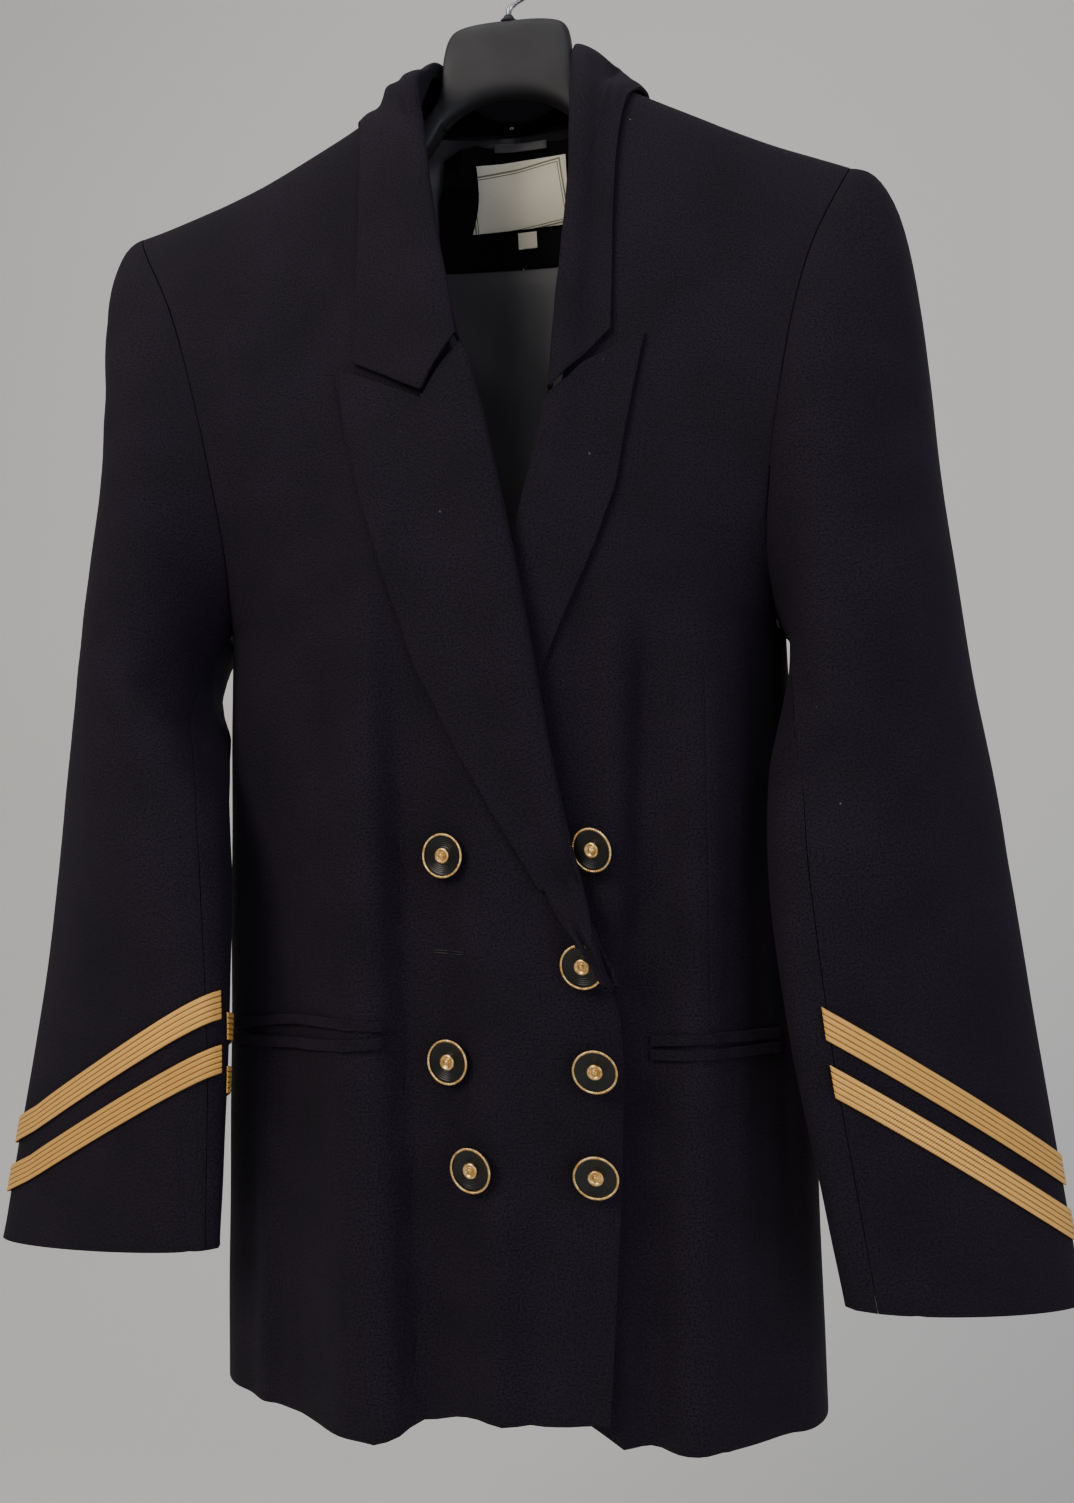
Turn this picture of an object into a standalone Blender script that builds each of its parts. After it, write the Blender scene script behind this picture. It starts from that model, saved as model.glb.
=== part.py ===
# Double-breasted blazer on a moulded hanger
# Metres, +Z up. The front faces -Y, the wearer's right side is at -X.
# The origin is the inside top of the hook, where a rail would carry it.

import math
from collections import namedtuple

import bmesh
import bpy
from mathutils import Matrix, Vector
from mathutils.bvhtree import BVHTree

# Cloth and seams
WALL = 0.0022
LINING = 0.0011
SEAM = 0.0002
LAYER_GAP = 0.0005
TRIM_GAP = 0.0004
COLLAR_GAP = 0.0010

# Back neckline: half width, and the row it dips to
BACK_NECK = 0.056
BACK_NECK_LEVEL = 0.2

# Heights below the hook
UNDERARM_Z = -0.440
HEM_Z = -0.862
LINING_HEM_Z = -0.835
FACING_TOP_Z = -0.109
FACING_HEM_Z = -0.187

# Centre pleat of the lining
PLEAT = 0.0035
PLEAT_X = 0.006
PLEAT_WIDE = 0.007
PLEAT_RUN = 0.05

# Armhole, a loop in the side of the body
ARMHOLE_Z = -0.321
ARMHOLE_RISE = 0.119
ARMHOLE_Y = -0.018
ARMHOLE_DEPTH = 0.055
ARMHOLE_STEPS = 10

# The shoulder tips stand this far above and outside the plain armhole
TIP_RAISE = {-1: 0.021, 1: 0.028}
TIP_OUT = {-1: 0.020, 1: -0.003}

# The shoulders sag between neck and tip, by the inner and outer half of each
SHOULDER_SAG = {-1: (0.030, 0.018), 1: (0.018, 0.009)}
SAG_LEVEL = 0.7

# The front edge is bound by the lapel, and both fronts are hitched at the hem
# where they lap, between these two places
EDGE_TRIM = 0.0035
HITCH = 0.0150
HITCH_START_X = -0.034
HITCH_END_X = 0.058
HITCH_RUN = 0.018
HITCH_START_LEVEL = 1.5

# The upper front lies this far over the under front where they overlap
OVER_LIFT = 0.0080
OVER_START_X = -0.095
OVER_FULL_X = -0.050
OVER_START_LEVEL = 0.06
OVER_FULL_LEVEL = 0.40

# Meshes
FRONT_COLUMNS = 15
BACK_COLUMNS = 9
LOWER_ROWS = 13
SLEEVE_ROWS = 18
LAPEL_COLUMNS = 9
COLLAR_STEPS = 28
FALL_COLUMNS = 5
SETTLE_ROUNDS = 9
SETTLE_REACH = 0.014

# Buttons
BUTTON_RADIUS = 0.0118
BUTTON_THICK = 0.0034
RIM_WIRE = 0.0009
BOSS_RADIUS = 0.0042
BUTTON_CLEAR = 0.0004

# Share of a leaning button's rise that its shank fills
SHANK_SHARE = 0.82

# Braid, label and welts
BRAID_WIDTH = 0.0135
BRAID_THICK = 0.0011
LABEL_THICK = 0.0010
LABEL_SIZE = (0.066, 0.043)
TAB_SIZE = (0.0125, 0.0105)
LOOP_SIZE = (0.036, 0.005)
LOOP_THICK = 0.0014
WELT_THICK = 0.0018

# Hanger
HOOK_WIRE = 0.0018
HOOK_INSIDE = 0.0195
HANGER_CLEAR = 0.0006


def table(columns, *rows):
    row_type = namedtuple("Row", columns)
    return [row_type(*row) for row in rows]


# Body: rows run from the shoulder seam (0) to the underarm (1) and the hem (2).
# Depth and height are at the middle of the front and of the back, and square
# says how far the section fills its corner.
TORSO = table(
    "level front_y front_z back_y back_z front_square back_square",
    (0.0, 0.004, -0.066, 0.006, -0.066, 0.00, 0.00),
    (0.1, -0.022, -0.076, 0.028, -0.078, 0.10, 0.10),
    (0.2, -0.044, -0.100, 0.041, -0.102, 0.20, 0.25),
    (0.3, -0.058, -0.145, 0.048, -0.145, 0.30, 0.45),
    (0.5, -0.074, -0.260, 0.055, -0.255, 0.50, 0.65),
    (0.7, -0.083, -0.355, 0.057, -0.350, 0.66, 0.78),
    (1.0, -0.088, -0.440, 0.056, -0.440, 0.84, 0.86),
    (1.3, -0.089, -0.560, 0.053, -0.560, 0.86, 0.90),
    (1.6, -0.091, -0.690, 0.056, -0.690, 0.88, 0.92),
    (2.0, -0.092, -0.862, 0.060, -0.862, 0.88, 0.92),
)

# Where the body is widest, from the underarm to the hem
SIDES = table(
    "level right_x left_x side_y",
    (1.0, 0.164, 0.164, -0.018),
    (1.3, 0.162, 0.169, -0.020),
    (1.6, 0.161, 0.177, -0.020),
    (2.0, 0.160, 0.183, -0.020),
)

# How far out the armhole lies, going round from the shoulder tip by the front
ARMHOLE_OUT = table(
    "angle out",
    (0, 0.2045),
    (18, 0.2025),
    (36, 0.1935),
    (54, 0.1795),
    (72, 0.1685),
    (90, 0.1605),
    (126, 0.1530),
    (180, 0.1640),
    (234, 0.1700),
    (270, 0.1770),
    (306, 0.1900),
    (342, 0.2030),
    (360, 0.2045),
)

# Folds of the shell: ridges stand out, troughs are negative
FOLDS = table(
    "face top_x top_z foot_x foot_z wide high",
    ("front", -0.072, -0.36, -0.058, -0.90, 0.017, 0.0075),
    ("front", -0.040, -0.34, -0.020, -0.90, 0.019, -0.0090),
    ("front", 0.016, -0.72, 0.018, -0.92, 0.015, 0.0040),
    ("front", 0.050, -0.74, 0.046, -0.92, 0.014, -0.0030),
    ("front", -0.126, -0.42, -0.118, -0.90, 0.014, -0.0060),
    ("front", 0.100, -0.40, 0.095, -0.90, 0.016, -0.0050),
    ("front", 0.124, -0.36, 0.122, -0.92, 0.020, 0.0070),
    ("front", 0.150, -0.40, 0.152, -0.80, 0.011, -0.0065),
    ("back", -0.110, -0.34, -0.118, -0.92, 0.022, 0.0070),
    ("back", -0.062, -0.40, -0.066, -0.92, 0.020, -0.0070),
    ("back", 0.060, -0.46, 0.068, -0.92, 0.022, -0.0060),
    ("back", 0.108, -0.30, 0.116, -0.92, 0.020, 0.0075),
)

# Sleeve rings from the armhole to the cuff, on a mirrored side: outer and inner
# end of the ring, its half depth, how far it faces outward and its fullness behind
SLEEVE = table(
    "level out_x out_y out_z in_x in_y in_z deep turn behind",
    (0.00, 0.2045, -0.0180, -0.202, 0.1640, -0.018, -0.440, 0.055, 0, 0.0),
    (0.06, 0.2190, -0.0205, -0.210, 0.1675, -0.020, -0.446, 0.057, 2, 0.003),
    (0.12, 0.2320, -0.0235, -0.233, 0.1695, -0.024, -0.453, 0.058, 5, 0.006),
    (0.19, 0.2395, -0.0260, -0.274, 0.1700, -0.030, -0.462, 0.057, 8, 0.008),
    (0.27, 0.2440, -0.0273, -0.326, 0.1690, -0.038, -0.474, 0.055, 12, 0.009),
    (0.35, 0.2485, -0.0282, -0.380, 0.1660, -0.048, -0.490, 0.051, 16, 0.008),
    (0.44, 0.2530, -0.0288, -0.436, 0.1610, -0.062, -0.514, 0.045, 20, 0.006),
    (0.54, 0.2580, -0.0300, -0.497, 0.1550, -0.079, -0.551, 0.038, 24, 0.003),
    (0.65, 0.2635, -0.0330, -0.562, 0.1505, -0.092, -0.600, 0.031, 26, 0.0),
    (0.77, 0.2700, -0.0375, -0.633, 0.1490, -0.097, -0.656, 0.025, 25, 0.0),
    (0.89, 0.2785, -0.0435, -0.710, 0.1520, -0.094, -0.716, 0.021, 22, 0.0),
    (1.00, 0.2870, -0.0490, -0.786, 0.1550, -0.089, -0.774, 0.018, 20, 0.0),
)

# How each arm hangs off the mirrored rings: its inner and outer end moved
# outward and along Y, the ring raised, and turned in front of the body
HANG = {
    -1: table(
        "level in_x in_y out_x out_y up turn",
        (0.0, 0.000, 0.000, 0.000, 0.000, 0.000, 0),
        (0.1, 0.000, -0.001, -0.006, 0.000, 0.000, 0),
        (0.25, 0.000, -0.004, -0.010, 0.000, 0.000, -6),
        (0.35, 0.000, -0.008, -0.009, 0.000, 0.000, -6),
        (0.5, -0.010, -0.011, -0.005, 0.000, 0.000, 0),
        (0.8, -0.013, 0.000, 0.000, -0.002, 0.000, 0),
        (1.0, -0.012, 0.004, 0.003, -0.004, 0.000, 0),
    ),
    1: table(
        "level in_x in_y out_x out_y up turn",
        (0.0, 0.000, 0.000, 0.000, 0.000, 0.000, 0),
        (0.1, 0.000, -0.001, 0.000, 0.000, 0.002, -12),
        (0.25, -0.002, -0.006, 0.001, 0.004, 0.000, -24),
        (0.35, -0.006, -0.006, 0.004, 0.009, 0.000, -20),
        (0.5, -0.005, -0.002, 0.010, 0.014, 0.000, -8),
        (0.75, 0.014, 0.000, 0.019, 0.018, -0.003, 0),
        (1.0, 0.033, 0.000, 0.026, 0.022, -0.007, 0),
    ),
}

# Front and back seam of each sleeve, as the arm is twisted
SLEEVE_SEAMS = {-1: (162, -36), 1: (144, -54)}

SLEEVE_FOLDS = table(
    "angle level high wide_angle long",
    (150, 0.42, 0.0035, 26, 0.05),
    (128, 0.50, -0.0030, 30, 0.04),
    (96, 0.60, 0.0025, 34, 0.06),
    (20, 0.48, -0.0022, 30, 0.07),
    (250, 0.38, 0.0030, 34, 0.06),
    (232, 0.52, -0.0030, 34, 0.05),
)

# Lapels: each row runs from the roll line to the outer edge
OVER_LAPEL = table(
    "roll_x roll_z edge_x edge_z dip notch rise",
    (-0.0120, -0.2838, -0.0821, -0.2918, 0.0290, 0.25, 0.0026),
    (-0.0065, -0.3020, -0.0770, -0.3120, 0.0160, 0.25, 0.0036),
    (0.0010, -0.3300, -0.0715, -0.3380, 0.0060, 0.25, 0.0040),
    (0.0100, -0.3680, -0.0620, -0.3720, 0.0, 0.25, 0.0042),
    (0.0200, -0.4150, -0.0480, -0.4150, 0.0, 0.25, 0.0042),
    (0.0290, -0.4600, -0.0320, -0.4580, 0.0, 0.25, 0.0042),
    (0.0370, -0.5050, -0.0100, -0.5000, 0.0, 0.25, 0.0038),
    (0.0460, -0.5450, 0.0130, -0.5400, 0.0, 0.25, 0.0034),
    (0.0570, -0.5830, 0.0360, -0.5770, 0.0, 0.25, 0.0028),
    (0.0665, -0.6080, 0.0560, -0.6040, 0.0, 0.25, 0.0022),
    (0.0745, -0.6260, 0.0680, -0.6240, 0.0, 0.25, 0.0016),
)
UNDER_LAPEL = table(
    "roll_x roll_z edge_x edge_z dip notch rise",
    (0.0400, -0.3130, 0.0895, -0.2800, -0.0053, 0.34, 0.0022),
    (0.0380, -0.3240, 0.0850, -0.3030, -0.0030, 0.34, 0.0022),
    (0.0335, -0.3430, 0.0795, -0.3320, -0.0010, 0.34, 0.0020),
    (0.0265, -0.3700, 0.0740, -0.3640, 0.0, 0.34, 0.0014),
    (0.0200, -0.4000, 0.0630, -0.3960, 0.0, 0.34, 0.0008),
    (0.0110, -0.4420, 0.0460, -0.4360, 0.0, 0.34, 0.0004),
    (0.0000, -0.4900, 0.0270, -0.4840, 0.0, 0.34, 0.0002),
    (-0.0130, -0.5400, 0.0070, -0.5340, 0.0, 0.34, 0.0002),
    (-0.0250, -0.5900, -0.0140, -0.5860, 0.0, 0.34, 0.0002),
    (-0.0300, -0.6110, -0.0220, -0.6090, 0.0, 0.34, 0.0002),
)

# Inner edges of the fronts by depth: neckline, the lapel's roll, front edge
OVER_EDGE = table(
    "depth x",
    (0.100, -0.056),
    (0.128, -0.044),
    (0.174, -0.035),
    (0.226, -0.025),
    *[(-row.roll_z, row.roll_x - 0.0005) for row in OVER_LAPEL],
    (0.640, 0.080),
    (0.708, 0.081),
    (0.789, 0.078),
    (0.870, 0.074),
)
UNDER_EDGE = table(
    "depth x",
    (0.100, 0.056),
    (0.126, 0.047),
    (0.194, 0.049),
    (0.264, 0.0445),
    *[(-row.roll_z, row.roll_x + 0.0005) for row in UNDER_LAPEL],
    (0.650, -0.036),
    (0.708, -0.036),
    (0.870, -0.034),
)

# Collar stations from the right front round the back to the left front:
# roll line, outer edge, height of the stand under the roll, dip of the notch
COLLAR = table(
    "station roll_x roll_y roll_z edge_x edge_y edge_z stand dip notch",
    (0.0, -0.0125, -0.086, -0.2800, -0.0703, -0.087, -0.2905, 0.002, 0.0280, 0.29),
    (1.0, -0.0230, -0.074, -0.2320, -0.0700, -0.079, -0.2440, 0.005, 0.0040, 0.29),
    (2.0, -0.0335, -0.056, -0.1740, -0.0710, -0.067, -0.1940, 0.010, 0.0, 0.29),
    (3.0, -0.0425, -0.033, -0.1220, -0.0760, -0.047, -0.1395, 0.016, 0.0, 0.29),
    (4.0, -0.0460, -0.010, -0.0820, -0.0860, -0.014, -0.1270, 0.007, 0.0, 0.29),
    (5.0, -0.0390, 0.017, -0.0740, -0.0680, 0.032, -0.1262, 0.012, 0.0, 0.29),
    (6.0, -0.0210, 0.031, -0.0720, -0.0360, 0.050, -0.1240, 0.022, 0.0, 0.33),
    (7.0, 0.0000, 0.034, -0.0720, 0.0000, 0.056, -0.1160, 0.027, 0.0, 0.36),
    (8.0, 0.0210, 0.031, -0.0720, 0.0360, 0.050, -0.1200, 0.022, 0.0, 0.39),
    (9.0, 0.0390, 0.017, -0.0730, 0.0680, 0.032, -0.1250, 0.012, 0.0, 0.43),
    (10.0, 0.0450, -0.010, -0.0800, 0.0845, -0.014, -0.1210, 0.007, 0.0, 0.46),
    (11.0, 0.0470, -0.033, -0.1180, 0.0760, -0.047, -0.1385, 0.016, 0.0, 0.46),
    (12.0, 0.0490, -0.056, -0.1800, 0.0720, -0.067, -0.1940, 0.010, 0.0, 0.46),
    (13.0, 0.0450, -0.073, -0.2420, 0.0715, -0.079, -0.2420, 0.005, 0.0, 0.46),
    (14.0, 0.0400, -0.084, -0.3095, 0.0712, -0.086, -0.2780, 0.002, 0.0, 0.46),
)
LAST_STATION = 14

# Buttons: place on the front, which front carries them and how they lean
BUTTONS = table(
    "name x z layer lean_x lean_z shank",
    ("upper_right", -0.0145, -0.560, "over", 0, 0, 0.0016),
    ("upper_left", 0.0635, -0.556, "under", 12, -30, 0.0016),
    ("break_left", 0.0590, -0.6150, "over", 11, -19, 0.0003),
    ("middle_right", -0.011, -0.667, "over", 2, 0, 0.0016),
    ("middle_left", 0.0645, -0.667, "over", 15, -16, 0.0016),
    ("lower_right", 0.0035, -0.7195, "over", 6, 0, 0.0016),
    ("lower_left", 0.065, -0.7195, "over", 14, -14, 0.0016),
)

# The lapel passes over the break button
BUTTON_COVER = 0.0164
COVER_INNER = 0.015
COVER_OUTER = 0.034

# Pocket welts: ends of each mouth line on the front
WELTS = table(
    "name layer inner_x inner_z outer_x outer_z sag wide",
    ("welt_upper_right", "over", -0.046, -0.6470, -0.148, -0.6560, -0.004, 0.0055),
    ("welt_lower_right", "over", -0.048, -0.6545, -0.148, -0.6640, 0.001, 0.0060),
    ("welt_upper_left", "under", 0.091, -0.6535, 0.158, -0.6520, -0.002, 0.0055),
    ("welt_lower_left", "under", 0.091, -0.6605, 0.158, -0.6590, -0.001, 0.0055),
)

# Braid: height of the apex and of the two ends, and where the apex lies
BRAIDS = table(
    "name side apex_z front_z back_z apex_angle ends",
    ("braid_upper_right", -1, -0.713, -0.640, -0.652, 50, 177),
    ("braid_lower_right", -1, -0.741, -0.669, -0.681, 50, 177),
    ("braid_upper_left", 1, -0.726, -0.640, -0.652, 12, 147),
    ("braid_lower_left", 1, -0.754, -0.668, -0.680, 12, 147),
)

# Hanger: top and underside of the moulding by distance from the middle
HANGER = table(
    "x top_z foot_z y thick",
    (0.000, -0.0530, -0.1020, 0.000, 0.016),
    (0.018, -0.0535, -0.1045, 0.000, 0.016),
    (0.030, -0.0555, -0.1100, 0.000, 0.016),
    (0.036, -0.0600, -0.1145, 0.000, 0.016),
    (0.0395, -0.0720, -0.1180, 0.000, 0.015),
    (0.0420, -0.0960, -0.1200, 0.000, 0.014),
)
HANGER_ARM = table(
    "x thick high drop",
    (0.056, 0.014, 0.026, 0.0006),
    (0.080, 0.014, 0.024, 0.0003),
    (0.110, 0.017, 0.022, 0.0010),
    (0.140, 0.019, 0.020, 0.0026),
    (0.165, 0.018, 0.018, 0.0040),
    (0.178, 0.016, 0.014, 0.0045),
    (0.186, 0.012, 0.008, 0.0050),
)


def smooth_step(value):
    value = min(max(value, 0.0), 1.0)
    return value * value * (3.0 - 2.0 * value)


# One row of a table at any place in its first column, on a smooth curve
def at(rows, place):
    keys = [row[0] for row in rows]
    place = min(max(place, keys[0]), keys[-1])
    index = 0
    while index < len(keys) - 2 and keys[index + 1] < place:
        index += 1
    span = keys[index + 1] - keys[index]
    t = (place - keys[index]) / span
    before = max(index - 1, 0)
    after = min(index + 2, len(keys) - 1)
    values = []
    for column in range(len(rows[0])):
        low = rows[index][column]
        high = rows[index + 1][column]
        slope_low = (high - rows[before][column]) / (keys[index + 1] - keys[before]) * span
        slope_high = (rows[after][column] - low) / (keys[after] - keys[index]) * span
        values.append(
            (2 * t**3 - 3 * t**2 + 1) * low
            + (t**3 - 2 * t**2 + t) * slope_low
            + (3 * t**2 - 2 * t**3) * high
            + (t**3 - t**2) * slope_high
        )
    return type(rows[0])(*values)


def side_of(value):
    return -1 if value < 0 else 1


# Armhole: 0 is the shoulder tip, 90 the front, 180 under the arm
def armhole(side, angle):
    turn = math.radians(angle)
    top = (0.5 + 0.5 * math.cos(turn)) ** 2
    out = at(ARMHOLE_OUT, angle % 360).out + TIP_OUT[side] * top
    depth = ARMHOLE_Y - ARMHOLE_DEPTH * math.sin(turn)
    height = ARMHOLE_Z + ARMHOLE_RISE * math.cos(turn) + TIP_RAISE[side] * top
    return Vector((side * out, depth, height))


def side_point(side, level):
    row = at(SIDES, level)
    out = row.right_x if side < 0 else row.left_x
    height = UNDERARM_Z + (HEM_Z - UNDERARM_Z) * (level - 1.0)
    return Vector((side * out, row.side_y, height))


# Plain body surface: across is -1 and 1 at the sides, 0 in the middle
def plain_torso(face, level, across):
    side = side_of(across)
    row = at(TORSO, level)
    front = face == "front"
    depth, height = (row.front_y, row.front_z) if front else (row.back_y, row.back_z)
    middle = Vector((0.0, depth, height))
    if level < 1.0:
        outer = armhole(side, 180 * level if front else 360 - 180 * level)
    else:
        outer = side_point(side, level)
    square = row.front_square if front else row.back_square
    corner = Vector((outer.x, middle.y, 0.5 * (middle.z + outer.z)))
    pull = ((middle + outer) / 2).lerp(corner, square)
    first = middle.lerp(pull, 2 / 3)
    first = first.lerp(Vector((first.x, middle.y, middle.z)), smooth_step(level / 0.3))
    second = outer.lerp(pull, 2 / 3)
    if level > 0.8:
        second.x += (outer.x - second.x) * smooth_step((level - 0.8) / 0.2)
    sag = 1.0 - smooth_step(level / SAG_LEVEL)
    first.z -= SHOULDER_SAG[side][0] * sag
    second.z -= SHOULDER_SAG[side][1] * sag
    t = abs(across)
    s = 1.0 - t
    return middle * s**3 + first * (3 * s * s * t) + second * (3 * s * t * t) + outer * t**3


# Straight out of the body, level with the floor below the shoulders
def outward(face, level, across):
    step = 0.01
    right = plain_torso(face, level, max(across - step, -1.0))
    left = plain_torso(face, level, min(across + step, 1.0))
    above = plain_torso(face, max(level - step, 0.0), across)
    below = plain_torso(face, min(level + step, 2.0), across)
    normal = (left - right).cross(below - above).normalized()
    wanted = -1.0 if face == "front" else 1.0
    if normal.y * wanted < 0 and abs(normal.y) > 0.05:
        normal.negate()
    elif abs(normal.y) <= 0.05 and normal.x * across < 0:
        normal.negate()
    return normal


def fold_height(face, x, z):
    total = 0.0
    for fold in FOLDS:
        if fold.face != face or z > fold.top_z:
            continue
        along = (z - fold.top_z) / (fold.foot_z - fold.top_z)
        centre = fold.top_x + (fold.foot_x - fold.top_x) * along
        strength = smooth_step(along * 2.4)
        total += fold.high * strength * math.exp(-(((x - centre) / fold.wide) ** 2))
    return total


def torso(face, level, across, lift=0.0):
    point = plain_torso(face, level, across)
    rise = lift + fold_height(face, point.x, point.z)
    return point + outward(face, level, across) * rise


# Place across a row where the body surface reaches a given x
def across_for(face, level, x):
    low, high = (0.0, 1.0) if x >= 0 else (-1.0, 0.0)
    for _ in range(26):
        middle = 0.5 * (low + high)
        if plain_torso(face, level, middle).x < x:
            low = middle
        else:
            high = middle
    return 0.5 * (low + high)


# Place across a row where it crosses an edge given by depth below the hook
def across_edge(face, level, edge):
    x = at(edge, -plain_torso(face, level, 0.0).z).x
    for _ in range(6):
        across = across_for(face, level, x)
        x = at(edge, -plain_torso(face, level, across).z).x
    return across_for(face, level, x)


def over_lift(x, level):
    along = smooth_step((x - OVER_START_X) / (OVER_FULL_X - OVER_START_X))
    down = smooth_step((level - OVER_START_LEVEL) / (OVER_FULL_LEVEL - OVER_START_LEVEL))
    return OVER_LIFT * along * down


# Materials
def linear(value):
    return value / 12.92 if value <= 0.04045 else ((value + 0.055) / 1.055) ** 2.4


def make_material(name, colour, roughness, metallic=0.0):
    material = bpy.data.materials.new(name)
    material.use_nodes = True
    shader = material.node_tree.nodes["Principled BSDF"]
    shader.inputs["Base Color"].default_value = tuple(linear(c / 255) for c in colour) + (1.0,)
    shader.inputs["Roughness"].default_value = roughness
    shader.inputs["Metallic"].default_value = metallic
    return material


def place_in(collection, item, material):
    for holder in list(item.users_collection):
        holder.objects.unlink(item)
    collection.objects.link(item)
    item.data.materials.clear()
    item.data.materials.append(material)
    return item


# A grid laid on surface(u, v), its faces turned to the outside
def lay_grid(work, columns, rows, surface, outside, trims=(0, 0, 0, 0)):
    bmesh.ops.create_grid(work, x_segments=columns, y_segments=rows, size=1.0)
    grid = {}
    for vert in work.verts:
        column = round((vert.co.x + 1.0) / 2.0 * columns)
        row = round((vert.co.y + 1.0) / 2.0 * rows)
        grid[column, row] = vert
    for (column, row), vert in grid.items():
        vert.co = surface(column / columns, row / rows)
    trim_edges(grid, columns, rows, trims)
    work.normal_update()
    if grid[columns // 2, rows // 2].normal.dot(outside) < 0:
        bmesh.ops.reverse_faces(work, faces=work.faces)
    return grid


def finish_mesh(collection, name, material, work):
    mesh = bpy.data.meshes.new(name)
    work.to_mesh(mesh)
    work.free()
    item = bpy.data.objects.new(name, mesh)
    place_in(collection, item, material)
    mesh.shade_smooth()
    return item


# A panel of the shell: its grid is extruded inward along directions that it
# shares with its neighbours, so the walls meet evenly at every seam
def panel(collection, name, material, columns, rows, surface, direction, outside, trims):
    work = bmesh.new()
    inward = work.verts.layers.float_vector.new("inward")
    grid = lay_grid(work, columns, rows, surface, outside, trims)
    skin_tree = BVHTree.FromBMesh(work)
    for (column, row), vert in grid.items():
        vert[inward] = direction(column / columns, row / rows) * -WALL
    made = bmesh.ops.extrude_face_region(work, geom=work.faces[:])
    for item in made["geom"]:
        if isinstance(item, bmesh.types.BMVert):
            item.co += item[inward]
    bmesh.ops.recalc_face_normals(work, faces=work.faces)
    finish_mesh(collection, name, material, work)
    return skin_tree


# Push a grid off a skin until every part of it clears the skin
def settle(grid, columns, first_column, rows, tree, clearance, way):
    samples = [(i / 3, j / 3) for i in range(4) for j in range(4)]
    for _ in range(SETTLE_ROUNDS):
        moves = {}
        for column in range(first_column, columns):
            for row in range(rows):
                keys = ((column, row), (column + 1, row), (column + 1, row + 1), (column, row + 1))
                corners = [grid[key].co for key in keys]
                for u, v in samples:
                    point = corners[0].lerp(corners[1], u).lerp(corners[3].lerp(corners[2], u), v)
                    near, normal, _, _ = tree.find_nearest(point)
                    height = (point - near).dot(normal) * way
                    aside = (point - near - normal * (point - near).dot(normal)).length
                    if height < clearance and aside < 0.0005 and height > -SETTLE_REACH:
                        push = normal * ((clearance - height) * way)
                        for key in keys:
                            if key not in moves or moves[key].length < push.length:
                                moves[key] = push
        for key, push in moves.items():
            grid[key].co += push


# A sheet of cloth that lies on a skin: its grid is settled there, then walled
def sheet(collection, name, material, columns, rows, surface, thick, outside, rest=None, first_column=0):
    work = bmesh.new()
    grid = lay_grid(work, columns, rows, surface, outside)
    if rest:
        tree, clearance, way = rest
        settle(grid, columns, first_column, rows, tree, clearance, way)
    item = finish_mesh(collection, name, material, work)
    wall = item.modifiers.new("Wall", "SOLIDIFY")
    wall.thickness = abs(thick)
    wall.offset = -1.0 if thick > 0 else 1.0
    return item


# Pull the four edges of a grid back from its seams
def trim_edges(grid, columns, rows, trims):
    first_u, last_u, first_v, last_v = trims
    moves = []
    for row in range(rows + 1):
        moves.append((grid[0, row], grid[1, row], first_u))
        moves.append((grid[columns, row], grid[columns - 1, row], last_u))
    for column in range(columns + 1):
        moves.append((grid[column, 0], grid[column, 1], first_v))
        moves.append((grid[column, rows], grid[column, rows - 1], last_v))
    shifts = [(vert, (inner.co - vert.co).normalized() * trim) for vert, inner, trim in moves if trim]
    for vert, shift in shifts:
        vert.co += shift


# Rows of a body panel: the armhole part first, then down to the hem
def body_level(v):
    row = v * (ARMHOLE_STEPS + LOWER_ROWS)
    if row <= ARMHOLE_STEPS:
        return row / ARMHOLE_STEPS
    return 1.0 + (row - ARMHOLE_STEPS) / LOWER_ROWS


# Wall direction of a body panel, the same for both panels along a seam
def body_direction(face, level, across):
    if level <= 1.0 and abs(across) > 0.9999:
        return armhole_direction(side_of(across), 180 * level if face == "front" else 360 - 180 * level)
    if level < 0.0001 or abs(across) > 0.9999:
        return (outward("front", level, across) + outward("back", level, across)).normalized()
    return outward(face, level, across)


def make_front(collection, cloth, name, side, edge, over):
    def place(u, v):
        level = body_level(v)
        inner = across_edge("front", level, edge)
        return level, inner + (side - inner) * u

    def surface(u, v):
        level, across = place(u, v)
        x = plain_torso("front", level, across).x
        point = torso("front", level, across, over_lift(x, level) if over else 0.0)
        down = smooth_step((level - HITCH_START_LEVEL) / (2.0 - HITCH_START_LEVEL))
        if over:
            share = smooth_step((point.x - HITCH_START_X) / HITCH_RUN)
        else:
            share = 1.0 - smooth_step((point.x - HITCH_END_X) / HITCH_RUN)
        point.z += HITCH * share * down
        return point

    def direction(u, v):
        return body_direction("front", *place(u, v))

    rows = ARMHOLE_STEPS + LOWER_ROWS
    trims = (EDGE_TRIM, SEAM, SEAM, 0)
    return panel(collection, name, cloth, FRONT_COLUMNS, rows, surface, direction, Vector((0, -1, 0)), trims)


# Half width of the back neckline, a curve down to the middle of the back
def back_neck_x(level):
    return BACK_NECK * math.sqrt(max(0.0, 1.0 - (level / BACK_NECK_LEVEL) ** 2))


def make_back(collection, cloth, name, side):
    def place(u, v):
        level = body_level(v)
        inner = across_for("back", level, side * max(back_neck_x(level), 0.0001))
        return level, inner + (side - inner) * u

    def surface(u, v):
        return torso("back", *place(u, v))

    def direction(u, v):
        return body_direction("back", *place(u, v))

    rows = ARMHOLE_STEPS + LOWER_ROWS
    trims = (SEAM, SEAM, SEAM, 0)
    return panel(collection, name, cloth, BACK_COLUMNS, rows, surface, direction, Vector((0, 1, 0)), trims)


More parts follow.
